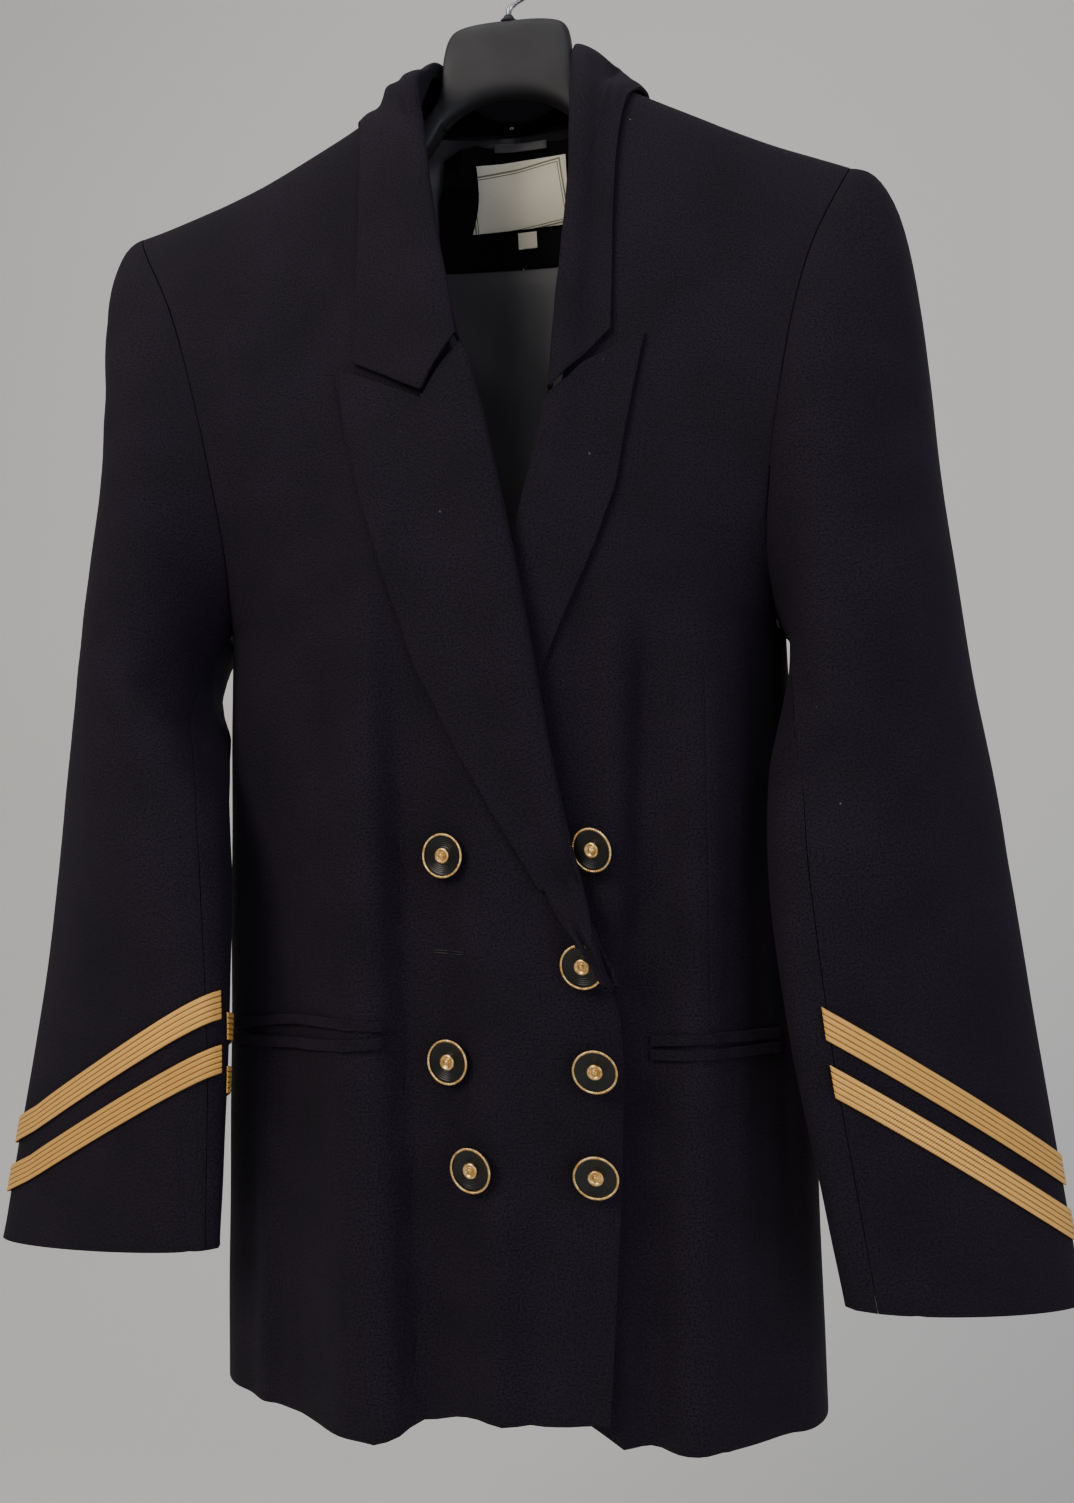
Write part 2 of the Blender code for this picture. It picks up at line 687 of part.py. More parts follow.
# Sleeve surface: angle as on the armhole, level 0 at the armhole, 1 at the cuff
def plain_sleeve(side, angle, level):
    row = at(SLEEVE, level)
    hang = at(HANG[side], level)
    inner = Vector((side * (row.in_x + hang.in_x), row.in_y + hang.in_y, row.in_z + hang.up))
    outer = Vector((side * (row.out_x + hang.out_x), row.out_y + hang.out_y, row.out_z + hang.up))
    centre = (inner + outer) / 2
    reach = (outer - inner) / 2
    turn = math.radians(row.turn + hang.turn)
    front = Vector((side * math.sin(turn), -math.cos(turn), 0.0)) * row.deep
    radians = math.radians(angle)
    point = centre + reach * math.cos(radians) + front * math.sin(radians)
    point.x += side * row.behind * max(0.0, -math.sin(radians)) ** 1.5
    return point


# The same ring, drawn to the armhole where the sleeve is set in
def set_in_sleeve(side, angle, level):
    start = armhole(side, angle) - plain_sleeve(side, angle, 0.0)
    return plain_sleeve(side, angle, level) + start * (1.0 - smooth_step(level / 0.35))


def sleeve_outward(side, angle, level):
    low = max(level - 0.03, 0.0)
    high = min(level + 0.03, 1.0)
    around = set_in_sleeve(side, angle + 5, level) - set_in_sleeve(side, angle - 5, level)
    along = set_in_sleeve(side, angle, high) - set_in_sleeve(side, angle, low)
    return around.cross(along).normalized() * side


def sleeve(side, angle, level, lift=0.0):
    rise = lift
    for fold in SLEEVE_FOLDS:
        apart = (angle - fold.angle + 180) % 360 - 180
        reach = (apart / fold.wide_angle) ** 2 + ((level - fold.level) / fold.long) ** 2
        rise += fold.high * math.exp(-reach)
    return set_in_sleeve(side, angle, level) + sleeve_outward(side, angle, level) * rise


# Wall direction along the armhole seam, between the body and the sleeve
def armhole_direction(side, angle):
    turn = angle % 360
    level = turn / 180 if turn <= 180 else (360 - turn) / 180
    body = outward("front" if turn <= 180 else "back", level, side)
    if turn < 0.01 or abs(turn - 180) < 0.01:
        body = (outward("front", level, side) + outward("back", level, side)).normalized()
    down = Vector((0, 0, -1.5)) * max(0.0, -math.cos(math.radians(turn))) ** 3
    return (body + sleeve_outward(side, turn, 0.0) + down).normalized()


def make_sleeve_part(collection, cloth, name, side, first_angle, last_angle):
    columns = round(abs(last_angle - first_angle) / (180 / ARMHOLE_STEPS))

    def angle_at(u):
        return first_angle + (last_angle - first_angle) * u

    def surface(u, v):
        return sleeve(side, angle_at(u), v)

    def direction(u, v):
        return armhole_direction(side, angle_at(u)) if v < 0.0001 else sleeve_outward(side, angle_at(u), v)

    middle = sleeve(side, (first_angle + last_angle) / 2, 0.5)
    centre = (sleeve(side, 0, 0.5) + sleeve(side, 180, 0.5)) / 2
    trims = (SEAM, SEAM, 2 * SEAM, 0)
    return panel(collection, name, cloth, columns, SLEEVE_ROWS, surface, direction, middle - centre, trims)


# Sleeve level at which a column of the sleeve reaches a given height
def sleeve_level(side, angle, z):
    low, high = 0.0, 1.0
    for _ in range(24):
        middle = 0.5 * (low + high)
        if sleeve(side, angle, middle).z > z:
            low = middle
        else:
            high = middle
    return 0.5 * (low + high)


# Skin of a laid piece, to lay other pieces on
def skin(item):
    mesh = item.data
    return BVHTree.FromPolygons(
        [vert.co.copy() for vert in mesh.vertices],
        [tuple(face.vertices) for face in mesh.polygons],
    )


# Skin of several panels at once: the faces that look out of the body
def joined_skin(items):
    points = []
    faces = []
    for item in items:
        start = len(points)
        half = len(item.data.vertices) // 2
        points.extend(vert.co.copy() for vert in item.data.vertices)
        for face in item.data.polygons:
            if all(index < half for index in face.vertices):
                faces.append(tuple(start + index for index in face.vertices))
    return BVHTree.FromPolygons(points, faces)


# Share of the way from the roll to the edge at one column, with a column
# exactly at the notch
def notched_share(step, steps, notch):
    if step <= 2:
        return notch * step / 2
    return notch + (1.0 - notch) * (step - 2) / (steps - 2)


def lay_on(tree, x, z, lift):
    point, normal, _, _ = tree.ray_cast(Vector((x, -1.0, z)), Vector((0, 1, 0)))
    if point is None:
        point, normal, _, _ = tree.find_nearest(Vector((x, -0.09, z)))
        point = Vector((x, point.y, z))
    if normal.y > 0:
        normal = -normal
    return point, normal, point + normal * lift


# Row of a lapel table part way between two of its rows
def between_rows(rows, place):
    index = min(int(place), len(rows) - 2)
    t = place - index
    pairs = zip(rows[index], rows[index + 1])
    return type(rows[0])(*(low + (high - low) * t for low, high in pairs))


# A lapel's first columns turn round the roll line: reach past it and drop behind it
LAPEL_WRAP = table(
    "reach drop",
    (-0.0020, 0.0016),
    (0.0024, -0.0006),
    (0.0022, -0.0036),
)
FULL_RISE = 0.004

# The collar's first columns are its stand: reach out, share of the stand's
# height and how far it lies in front of the shell where the collar lies flat
COLLAR_STAND = table(
    "reach fall forward",
    (0.0010, 1.0, -0.0010),
    (0.0004, 0.5, 0.0025),
    (0.0000, 0.0, 0.0055),
)

# Height of the roll of the collar's fall, on the shoulders and on the fronts
FALL_ROUND = 0.003
FALL_ROLL = 0.0055


# How far the notch line hangs below the straight end of a lapel or collar
def notch_dip(dip, share, notch):
    tent = share / notch if share < notch else (1.0 - share) / (1.0 - notch)
    return dip * max(tent, 0.0)


def over_button(x, z):
    button = next(row for row in BUTTONS if row.name == "break_left")
    apart = math.hypot(x - button.x, z - button.z)
    return BUTTON_COVER * smooth_step((COVER_OUTER - apart) / (COVER_OUTER - COVER_INNER))


# Lapel: wraps the roll line, then lies on the front to its outer edge
def make_lapel(collection, cloth, name, rows, tree, covers_button):
    wrapped = len(LAPEL_WRAP)

    def surface(u, v):
        row = between_rows(rows, v * (len(rows) - 1))
        column = round(u * LAPEL_COLUMNS)
        span = row.edge_x - row.roll_x
        toward = side_of(span)
        if column < wrapped:
            wrap = LAPEL_WRAP[column]
            base = lay_on(tree, row.roll_x + toward * 0.005, row.roll_z, 0.0)[2]
            scale = min(1.0, row.rise / FULL_RISE)
            cover = over_button(row.roll_x, row.roll_z) if covers_button else 0.0
            depth = base.y + wrap.drop * scale - cover
            return Vector((row.roll_x - toward * wrap.reach * scale, depth, row.roll_z))
        share = notched_share(column - wrapped + 1, LAPEL_COLUMNS - wrapped + 1, row.notch)
        x = row.roll_x + span * share
        z = row.roll_z + (row.edge_z - row.roll_z) * share - notch_dip(row.dip, share, row.notch)
        lift = LAYER_GAP + TRIM_GAP + row.rise * (1.0 - smooth_step(share / 0.55))
        if covers_button:
            lift += over_button(x, z)
        return lay_on(tree, x, z, lift)[2]

    rows_count = (len(rows) - 1) * 2
    rest = (tree, LAYER_GAP, 1)
    out = Vector((0, -1, 0))
    return sheet(collection, name, cloth, LAPEL_COLUMNS, rows_count, surface, -WALL, out, rest, wrapped)


# Collar: stand inside the neck, roll, then the fall out to its edge
def make_collar(collection, cloth, trees, body_tree):
    stand_columns = len(COLLAR_STAND)
    columns = FALL_COLUMNS + stand_columns

    def surface(u, v):
        row = at(COLLAR, v * LAST_STATION)
        roll = Vector((row.roll_x, row.roll_y, row.roll_z))
        edge = Vector((row.edge_x, row.edge_y, row.edge_z))
        out = Vector((edge.x - roll.x, edge.y - roll.y, 0.0)).normalized()
        tree = trees["over"] if v < 0.5 else trees["under"]
        from_end = min(row.station, LAST_STATION - row.station)
        lies_flat = smooth_step(3.9 - from_end)
        column = round(u * columns)
        if column < stand_columns:
            stand = COLLAR_STAND[column]
            point = roll + out * stand.reach * smooth_step(from_end / 3)
            point.z -= row.stand * stand.fall
            base = lay_on(tree, roll.x + side_of(edge.x - roll.x) * 0.007, roll.z, 0.0)[2]
            point.y += (base.y - stand.forward - point.y) * lies_flat
            return point
        share = notched_share(column - stand_columns + 1, FALL_COLUMNS + 1, row.notch)
        point = roll.lerp(edge, share)
        rise = math.sin(math.pi * share) * FALL_ROUND + TRIM_GAP
        point += (out + Vector((0, 0, 0.9))).normalized() * rise
        x = roll.x + (edge.x - roll.x) * share
        z = roll.z + (edge.z - roll.z) * share - notch_dip(row.dip, share, row.notch)
        rise = LAYER_GAP + TRIM_GAP + FALL_ROLL * (1.0 - smooth_step(share / 0.75))
        return point.lerp(lay_on(tree, x, z, rise)[2], lies_flat)

    rest = (body_tree, COLLAR_GAP, 1)
    out = Vector((0, 0.3, 1))
    grid = (columns, COLLAR_STEPS)
    return sheet(collection, "collar", cloth, *grid, surface, -WALL, out, rest, stand_columns)


# Point at a given depth inside the shell of the back
def inside_back(trees, x, z, depth):
    tree = trees["back_right"] if x < 0 else trees["back_left"]
    start = Vector((side_of(x) * max(abs(x), 0.0006), 0.0, z))
    point, normal, _, _ = tree.ray_cast(start, Vector((0, 1, 0)))
    if point is None:
        point, normal, _, _ = tree.find_nearest(Vector((x, 0.05, z)))
        point = Vector((x, point.y, z))
    if normal.y < 0:
        normal = -normal
    point.x = x
    return point - normal * depth


# Cloth that hangs inside the back, between two heights
def inside_sheet(collection, name, material, trees, size, grid, depth, thick, pleat=0.0):
    half_width, top_z, foot_z = size
    columns, rows = grid

    def surface(u, v):
        x = half_width * (2 * u - 1)
        z = top_z + (foot_z - top_z) * v
        fullness = smooth_step((top_z - z) / PLEAT_RUN)
        bulge = pleat * math.exp(-(((x - PLEAT_X) / PLEAT_WIDE) ** 2)) * fullness
        return inside_back(trees, x, z, depth + bulge)

    rest = (trees["back"], depth, -1)
    return sheet(collection, name, material, columns, rows, surface, thick, Vector((0, 1, 0)), rest)


# A small flat piece inside the neck, turned a little in its own plane
def make_label(collection, name, material, trees, place, size, tilt, thick):
    turn = math.radians(tilt)

    def surface(u, v):
        px = (u - 0.5) * size[0]
        pz = (0.5 - v) * size[1]
        x = place[0] + px * math.cos(turn) - pz * math.sin(turn)
        z = place[1] + px * math.sin(turn) + pz * math.cos(turn)
        return inside_back(trees, x, z, 2 * (WALL + LAYER_GAP))

    rest = (trees["facing"], WALL + LAYER_GAP, -1)
    return sheet(collection, name, material, 4, 2, surface, thick, Vector((0, 1, 0)), rest)


def make_welt(collection, cloth, row, tree):
    def surface(u, v):
        x = row.inner_x + (row.outer_x - row.inner_x) * u
        z = row.inner_z + (row.outer_z - row.inner_z) * u
        z += -row.sag * math.sin(math.pi * u) - row.wide * v
        return lay_on(tree, x, z, LAYER_GAP)[2]

    rest = (tree, LAYER_GAP, 1)
    return sheet(collection, row.name, cloth, 10, 1, surface, -WELT_THICK, Vector((0, -1, 0)), rest)


def make_braid(collection, material, row, tree):
    steps = 24

    def surface(u, v):
        turn = -1.0 + 2.0 * v
        half = row.ends
        if turn < 0:
            angle = row.apex_angle + (half - row.apex_angle) * -turn
            end = row.front_z
        else:
            angle = row.apex_angle - (half + row.apex_angle) * turn
            end = row.back_z
        far = math.cos(math.radians(half))
        near = math.cos(math.radians(row.apex_angle))
        share = (near - math.cos(math.radians(angle))) / (near - far)
        z = row.apex_z + (end - row.apex_z) * share
        slope = 1.0 / math.cos(math.atan2(abs(end - row.apex_z), 0.13))
        z += (0.5 - u) * BRAID_WIDTH * slope
        level = sleeve_level(row.side, angle, z)
        return sleeve(row.side, angle, level, TRIM_GAP)

    outside = sleeve(row.side, row.apex_angle, 0.9) - sleeve(row.side, 180, 0.9)
    rest = (tree, TRIM_GAP, 1)
    return sheet(collection, row.name, material, 2, steps, surface, -BRAID_THICK, outside, rest)


# A turned piece: a profile of (radius, height) spun about its own Z axis
def turned(collection, name, material, profile, steps, matrix):
    mesh = bpy.data.meshes.new(name)
    work = bmesh.new()
    verts = [work.verts.new((radius, 0.0, height)) for radius, height in profile]
    for first, second in zip(verts, verts[1:]):
        work.edges.new((first, second))
    work.to_mesh(mesh)
    work.free()
    item = bpy.data.objects.new(name, mesh)
    place_in(collection, item, material)
    spin = item.modifiers.new("Spin", "SCREW")
    spin.steps = steps
    spin.render_steps = steps
    spin.use_merge_vertices = True
    spin.merge_threshold = 0.00001
    spin.use_smooth_shade = True
    item.matrix_world = matrix
    return item


def make_button(collection, materials, row, tree):
    point, normal, _ = lay_on(tree, row.x, row.z, 0.0)
    lean_z = Matrix.Rotation(math.radians(row.lean_z), 4, "Z")
    lean_x = Matrix.Rotation(math.radians(row.lean_x), 4, "X")
    facing = (lean_z @ lean_x @ normal).normalized()
    slope = math.sqrt(max(0.0, 1.0 - facing.dot(normal) ** 2))
    base = point + normal * (BUTTON_CLEAR + row.shank + slope * BUTTON_RADIUS)
    shank_foot = -slope * BUTTON_RADIUS * SHANK_SHARE - row.shank
    matrix = Matrix.Translation(base) @ facing.to_track_quat("Z", "Y").to_matrix().to_4x4()
    disc = (
        (0.0, BUTTON_THICK - 0.0009),
        (BUTTON_RADIUS * 0.62, BUTTON_THICK - 0.0006),
        (BUTTON_RADIUS - 0.0014, BUTTON_THICK),
        (BUTTON_RADIUS - 0.0002, BUTTON_THICK * 0.55),
        (BUTTON_RADIUS * 0.72, 0.0004),
        (BUTTON_RADIUS * 0.25, 0.0),
        (BUTTON_RADIUS * 0.22, shank_foot),
        (0.0, shank_foot),
    )
    turned(collection, "button_" + row.name, materials["button"], disc, 16, matrix)
    top = BUTTON_THICK + 0.0003
    rim = (
        (BUTTON_RADIUS - 0.0013, top),
        (BUTTON_RADIUS - 0.0006, top + RIM_WIRE),
        (BUTTON_RADIUS + 0.0002, top + 0.0001),
        (BUTTON_RADIUS + 0.0002, top - 0.0006),
        (BUTTON_RADIUS - 0.0013, top),
    )
    turned(collection, "rim_" + row.name, materials["gold"], rim, 16, matrix)
    foot = BUTTON_THICK - 0.0004
    boss = (
        (0.0, foot + 0.0024),
        (BOSS_RADIUS * 0.40, foot + 0.0019),
        (BOSS_RADIUS * 0.50, foot + 0.0012),
        (BOSS_RADIUS * 0.85, foot + 0.0015),
        (BOSS_RADIUS, foot + 0.0003),
        (0.0, foot + 0.0003),
    )
    turned(collection, "boss_" + row.name, materials["gold"], boss, 10, matrix)


# Wire along points as a curve with round section
def wire(collection, name, material, points, radius, resolution):
    curve = bpy.data.curves.new(name, "CURVE")
    curve.dimensions = "3D"
    curve.bevel_depth = radius
    curve.bevel_resolution = resolution
    curve.use_fill_caps = True
    line = curve.splines.new("POLY")
    line.points.add(len(points) - 1)
    for target, point in zip(line.points, points):
        target.co = (point[0], point[1], point[2], 1.0)
    item = bpy.data.objects.new(name, curve)
    collection.objects.link(item)
    curve.materials.append(material)
    return item


# Hook: a shank, a reverse bend and most of a circle over the rail
def make_hook(collection, material):
    radius = HOOK_INSIDE + HOOK_WIRE
    centre_z = HOOK_WIRE - radius
    points = [Vector((0, 0, -0.0525)), Vector((0, 0, -0.0490))]
    start = Vector((0, 0, -0.0470))
    first = math.radians(-62)
    end = Vector((radius * math.cos(first), 0, centre_z + radius * math.sin(first)))
    leave = Vector((-math.sin(first), 0, math.cos(first)))
    for step in range(1, 7):
        t = step / 7
        bend = (1 - t) ** 3 * start + 3 * (1 - t) ** 2 * t * (start + Vector((0, 0, 0.004)))
        bend += 3 * (1 - t) * t**2 * (end - leave * 0.004) + t**3 * end
        points.append(bend)
    for step in range(20):
        angle = first + math.radians(262) * step / 19
        points.append(Vector((radius * math.cos(angle), 0, centre_z + radius * math.sin(angle))))
    return wire(collection, "hook", material, points, HOOK_WIRE, 2)


# Point of the shoulder seam above a given x
def shoulder_seam(x):
    return plain_torso("front", 0.0, across_for("front", 0.0, x))


# Hanger: one moulding lofted through rounded sections across the shoulders
def make_hanger(collection, material):
    halves = []
    for side in (-1, 1):
        half = [(side * row.x, row.top_z, row.foot_z, row.y, row.thick) for row in HANGER]
        for row in HANGER_ARM:
            seam = shoulder_seam(side * row.x)
            top = seam.z - WALL * 1.35 - HANGER_CLEAR - row.drop
            half.append((side * row.x, top, top - row.high, seam.y, row.thick))
        halves.append(half)
    sections = list(reversed(halves[0][1:])) + halves[1]
    ring_steps = 10

    def surface_point(section, index):
        x, top, foot, y, thick = section
        angle = 2 * math.pi * index / ring_steps
        round_y = math.copysign(abs(math.sin(angle)) ** 0.7, math.sin(angle))
        round_z = math.copysign(abs(math.cos(angle)) ** 0.7, math.cos(angle))
        middle = (top + foot) / 2
        return Vector((x, y + thick / 2 * round_y, middle + (top - foot) / 2 * round_z))

    mesh = bpy.data.meshes.new("hanger")
    work = bmesh.new()
    rings = []
    for section in sections:
        ring = [work.verts.new(surface_point(section, index)) for index in range(ring_steps)]
        rings.append([work.edges.new((ring[i], ring[(i + 1) % ring_steps])) for i in range(ring_steps)])
    for first, second in zip(rings, rings[1:]):
        bmesh.ops.bridge_loops(work, edges=first + second)
    bmesh.ops.holes_fill(work, edges=rings[0] + rings[-1], sides=ring_steps)
    bmesh.ops.recalc_face_normals(work, faces=work.faces)
    work.to_mesh(mesh)
    work.free()
    item = bpy.data.objects.new("hanger", mesh)
    return place_in(collection, item, material)


def main():
    for item in list(bpy.data.objects):
        bpy.data.objects.remove(item, do_unlink=True)
    collection = bpy.data.collections.new("blazer_on_hanger")
    bpy.context.scene.collection.children.link(collection)

    wool = make_material("wool", (22, 22, 32), 0.85)
    facing_wool = make_material("facing wool", (20, 20, 28), 0.85)
    satin = make_material("lining satin", (112, 112, 118), 0.45)
    braid = make_material("gold braid", (214, 166, 88), 0.45, 0.6)
    woven = make_material("woven label", (226, 222, 206), 0.7)
    plastic = make_material("moulded plastic", (58, 56, 62), 0.5)
    steel = make_material("steel", (180, 180, 184), 0.25, 1.0)
    buttons = {
        "button": make_material("black button", (14, 14, 18), 0.3),
        "gold": make_material("gold metal", (212, 170, 110), 0.3, 1.0),
    }

    over = make_front(collection, wool, "front_right", -1, OVER_EDGE, True)
    under = make_front(collection, wool, "front_left", 1, UNDER_EDGE, False)
    back_right = make_back(collection, wool, "back_right", -1)
    back_left = make_back(collection, wool, "back_left", 1)
    sleeves = {}
    for side, hand in ((-1, "right"), (1, "left")):
        front_seam, back_seam = SLEEVE_SEAMS[side]
        make_sleeve_part(collection, wool, "sleeve_upper_" + hand, side, front_seam, back_seam)
        make_sleeve_part(collection, wool, "sleeve_under_" + hand, side, back_seam, front_seam - 360)
        parts = ("sleeve_upper_" + hand, "sleeve_under_" + hand)
        sleeves[side] = joined_skin([collection.objects[name] for name in parts])

    trees = {"over": over, "under": under, "back_right": back_right, "back_left": back_left}
    panels = [item for item in collection.objects if item.name.startswith(("front", "back"))]
    trees["shell"] = joined_skin(panels)
    trees["back"] = joined_skin([item for item in panels if item.name.startswith("back")])
    make_lapel(collection, wool, "lapel_right", OVER_LAPEL, over, True)
    make_lapel(collection, wool, "lapel_left", UNDER_LAPEL, under, False)
    make_collar(collection, wool, trees, trees["shell"])

    inner = WALL + LAYER_GAP
    facing_size = (0.054, FACING_TOP_Z, FACING_HEM_Z)
    facing = inside_sheet(collection, "neck_facing", facing_wool, trees, facing_size, (9, 5), inner, WALL)
    trees["facing"] = skin(facing)
    lining_size = (0.125, FACING_HEM_Z - TRIM_GAP, LINING_HEM_Z)
    inside_sheet(collection, "lining_back", satin, trees, lining_size, (14, 13), inner, LINING, PLEAT)
    make_label(collection, "label", woven, trees, (0.000, -0.1415), LABEL_SIZE, 2, LABEL_THICK)
    make_label(collection, "size_tab", woven, trees, (0.004, -0.1700), TAB_SIZE, 2, LABEL_THICK)
    make_label(collection, "hanger_loop", satin, trees, (0.001, -0.112), LOOP_SIZE, 0, LOOP_THICK)

    for row in WELTS:
        make_welt(collection, wool, row, trees[row.layer])
    for row in BRAIDS:
        make_braid(collection, braid, row, sleeves[row.side])
    for row in BUTTONS:
        make_button(collection, buttons, row, trees[row.layer])

    make_hanger(collection, plastic)
    make_hook(collection, steel)


main()
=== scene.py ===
import math

import bmesh
import bpy
import numpy as np
from mathutils import Matrix, Vector
from mathutils.bvhtree import BVHTree
from mathutils.kdtree import KDTree


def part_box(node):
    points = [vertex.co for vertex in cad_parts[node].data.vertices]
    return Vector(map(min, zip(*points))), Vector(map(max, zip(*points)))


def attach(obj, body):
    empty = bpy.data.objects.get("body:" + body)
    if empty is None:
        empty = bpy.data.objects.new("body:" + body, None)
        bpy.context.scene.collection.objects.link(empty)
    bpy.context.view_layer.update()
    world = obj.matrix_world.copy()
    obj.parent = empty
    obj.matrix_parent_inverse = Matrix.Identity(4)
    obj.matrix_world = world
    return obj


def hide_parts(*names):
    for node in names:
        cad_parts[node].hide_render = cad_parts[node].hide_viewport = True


# A blazer that hangs from its hook at the origin, its front to -Y and its right sleeve at -X.

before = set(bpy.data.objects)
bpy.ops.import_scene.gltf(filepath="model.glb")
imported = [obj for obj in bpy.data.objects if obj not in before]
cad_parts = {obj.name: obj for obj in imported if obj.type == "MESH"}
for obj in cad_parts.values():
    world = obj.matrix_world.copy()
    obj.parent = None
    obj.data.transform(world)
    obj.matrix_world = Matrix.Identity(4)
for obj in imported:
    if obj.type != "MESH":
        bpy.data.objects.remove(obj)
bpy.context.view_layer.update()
print("frame loaded, nodes:", len(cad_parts))


def hexColour(text):  # an sRGB hex value as the linear colour the shaders work in
    parts = [int(text[i:i + 2], 16) / 255 for i in (1, 3, 5)]
    return tuple(c / 12.92 if c <= 0.04045 else ((c + 0.055) / 1.055) ** 2.4 for c in parts) + (1.0,)


def addNode(tree, kind, links=None, **settings):  # one node with its settings, its values and its links
    node = tree.nodes.new(kind)
    for name, value in settings.items():
        setattr(node, name, value)
    for name, value in (links or {}).items():
        if isinstance(value, bpy.types.NodeSocket):
            tree.links.new(value, node.inputs[name])
        else:
            node.inputs[name].default_value = value
    return node


def startMaterial(name, **values):  # a Principled material, its tree and its shader
    material = bpy.data.materials.new(name)
    material.use_nodes = True
    shader = material.node_tree.nodes["Principled BSDF"]
    for key, value in values.items():
        shader.inputs[key.replace("_", " ")].default_value = value
    return material, material.node_tree, shader


def ramp(tree, source, stops):  # a colour ramp with its stops as (place, colour)
    node = addNode(tree, "ShaderNodeValToRGB", {"Fac": source})
    while len(node.color_ramp.elements) < len(stops):
        node.color_ramp.elements.new(0.5)
    for element, (place, colour) in zip(node.color_ramp.elements, stops):
        element.position = place
        element.color = colour
    return node.outputs["Color"]


def grey(value):  # a colourless value for a ramp
    return (value, value, value, 1.0)


# ---- materials

woolLook = {
    "body": "#08050a",  # worsted wool, navy so deep that it reads black
    "fleck": "#211a25",
    "threadMm": 1.1,  # the real crepe grain is 0.6 mm, drawn coarse enough to show
    "lintMm": 30,  # one speck of lint in each patch of this size
    "creepMm": 46,  # size of the soft patches of tone: fading of the cloth, partly painted sheen
    "sheen": 0.035,
}


def blendColours(tree, way, share, first, second):  # two colours mixed, each a socket or a value
    node = addNode(tree, "ShaderNodeMix", data_type="RGBA", blend_type=way)
    for index, value in ((0, share), (6, first), (7, second)):
        if isinstance(value, bpy.types.NodeSocket):
            tree.links.new(value, node.inputs[index])
        else:
            node.inputs[index].default_value = value
    return node.outputs[2]


def woolCloth(name, base, fleck):  # worsted wool crepe: matt and grainy, with a soft nap and a little lint
    material, tree, shader = startMaterial(name, Roughness=0.82)
    shader.inputs["Sheen Weight"].default_value = woolLook["sheen"]
    shader.inputs["Sheen Roughness"].default_value = 0.45
    shader.inputs["Sheen Tint"].default_value = hexColour("#8a7c9c")
    shader.inputs["Specular IOR Level"].default_value = 0.13
    place = addNode(tree, "ShaderNodeTexCoord").outputs["UV"]
    yarn = addNode(tree, "ShaderNodeTexNoise", {"Vector": place, "Scale": 1000 / woolLook["threadMm"],
                   "Detail": 3.0, "Roughness": 0.7}).outputs["Fac"]
    soft = addNode(tree, "ShaderNodeTexNoise", {"Vector": place, "Scale": 1000 / woolLook["creepMm"],
                   "Detail": 3.0}).outputs["Fac"]
    lint = addNode(tree, "ShaderNodeTexVoronoi", {"Vector": place, "Scale": 1000 / woolLook["lintMm"],
                   "Randomness": 1.0}).outputs["Distance"]
    grain = ramp(tree, yarn, ((0.34, grey(0)), (0.66, grey(1))))
    # soft lighter and darker patches: fading of the cloth and painted sheen
    fadeAndSheenPatch = ramp(tree, soft, ((0.3, grey(0.80)), (0.7, grey(1.14))))
    weave = ramp(tree, yarn, ((0.36, hexColour(base)), (0.64, hexColour(fleck))))
    cloth = blendColours(tree, "MULTIPLY", 1.0, weave, fadeAndSheenPatch)
    speck = ramp(tree, lint, ((0.0, grey(1)), (0.022, grey(0))))
    cloth = blendColours(tree, "MIX", speck, cloth, hexColour("#7d7a80"))
    tree.links.new(cloth, shader.inputs["Base Color"])
    seam = addNode(tree, "ShaderNodeAttribute", attribute_name="dartLine").outputs["Fac"]
    press = addNode(tree, "ShaderNodeMath", {0: seam, 1: 0.0}, operation="ABSOLUTE").outputs[0]
    groove = addNode(tree, "ShaderNodeMapRange", {"Value": press, "From Min": 0.0, "From Max": 0.0012,
                     "To Min": 0.0, "To Max": 1.0}, interpolation_type="SMOOTHSTEP").outputs["Result"]
    relief = addNode(tree, "ShaderNodeMath", {0: grain, 1: 0.6}, operation="MULTIPLY").outputs[0]
    height = addNode(tree, "ShaderNodeMath", {0: relief, 1: groove}, operation="ADD").outputs[0]
    bump = addNode(tree, "ShaderNodeBump", {"Height": height, "Strength": 0.6, "Distance": 0.0006})
    tree.links.new(bump.outputs["Normal"], shader.inputs["Normal"])
    return material


def satinCloth(name, base):  # acetate lining satin: close, smooth floats that shine along the warp
    material, tree, shader = startMaterial(name, Roughness=0.42)
    shader.inputs["Specular IOR Level"].default_value = 0.5
    place = addNode(tree, "ShaderNodeTexCoord").outputs["UV"]
    stretched = addNode(tree, "ShaderNodeMapping", {"Vector": place, "Scale": (900.0, 90.0, 1.0)}).outputs[0]
    warp = addNode(tree, "ShaderNodeTexNoise", {"Vector": stretched, "Scale": 1.0,
                   "Detail": 2.0}).outputs["Fac"]
    wide = addNode(tree, "ShaderNodeMapping", {"Vector": place, "Scale": (26.0, 5.0, 1.0)}).outputs[0]
    streak = addNode(tree, "ShaderNodeTexNoise", {"Vector": wide, "Scale": 1.0,
                     "Detail": 2.0}).outputs["Fac"]
    dark = tuple(c * 0.72 for c in hexColour(base)[:3]) + (1.0,)
    tree.links.new(ramp(tree, streak, ((0.3, dark), (0.7, hexColour(base)))), shader.inputs["Base Color"])
    bump = addNode(tree, "ShaderNodeBump", {"Height": warp, "Strength": 0.25, "Distance": 0.0002})
    tree.links.new(bump.outputs["Normal"], shader.inputs["Normal"])
    return material


braidTwist = 0.0013  # the real twist is 0.8 mm, drawn coarse enough to show


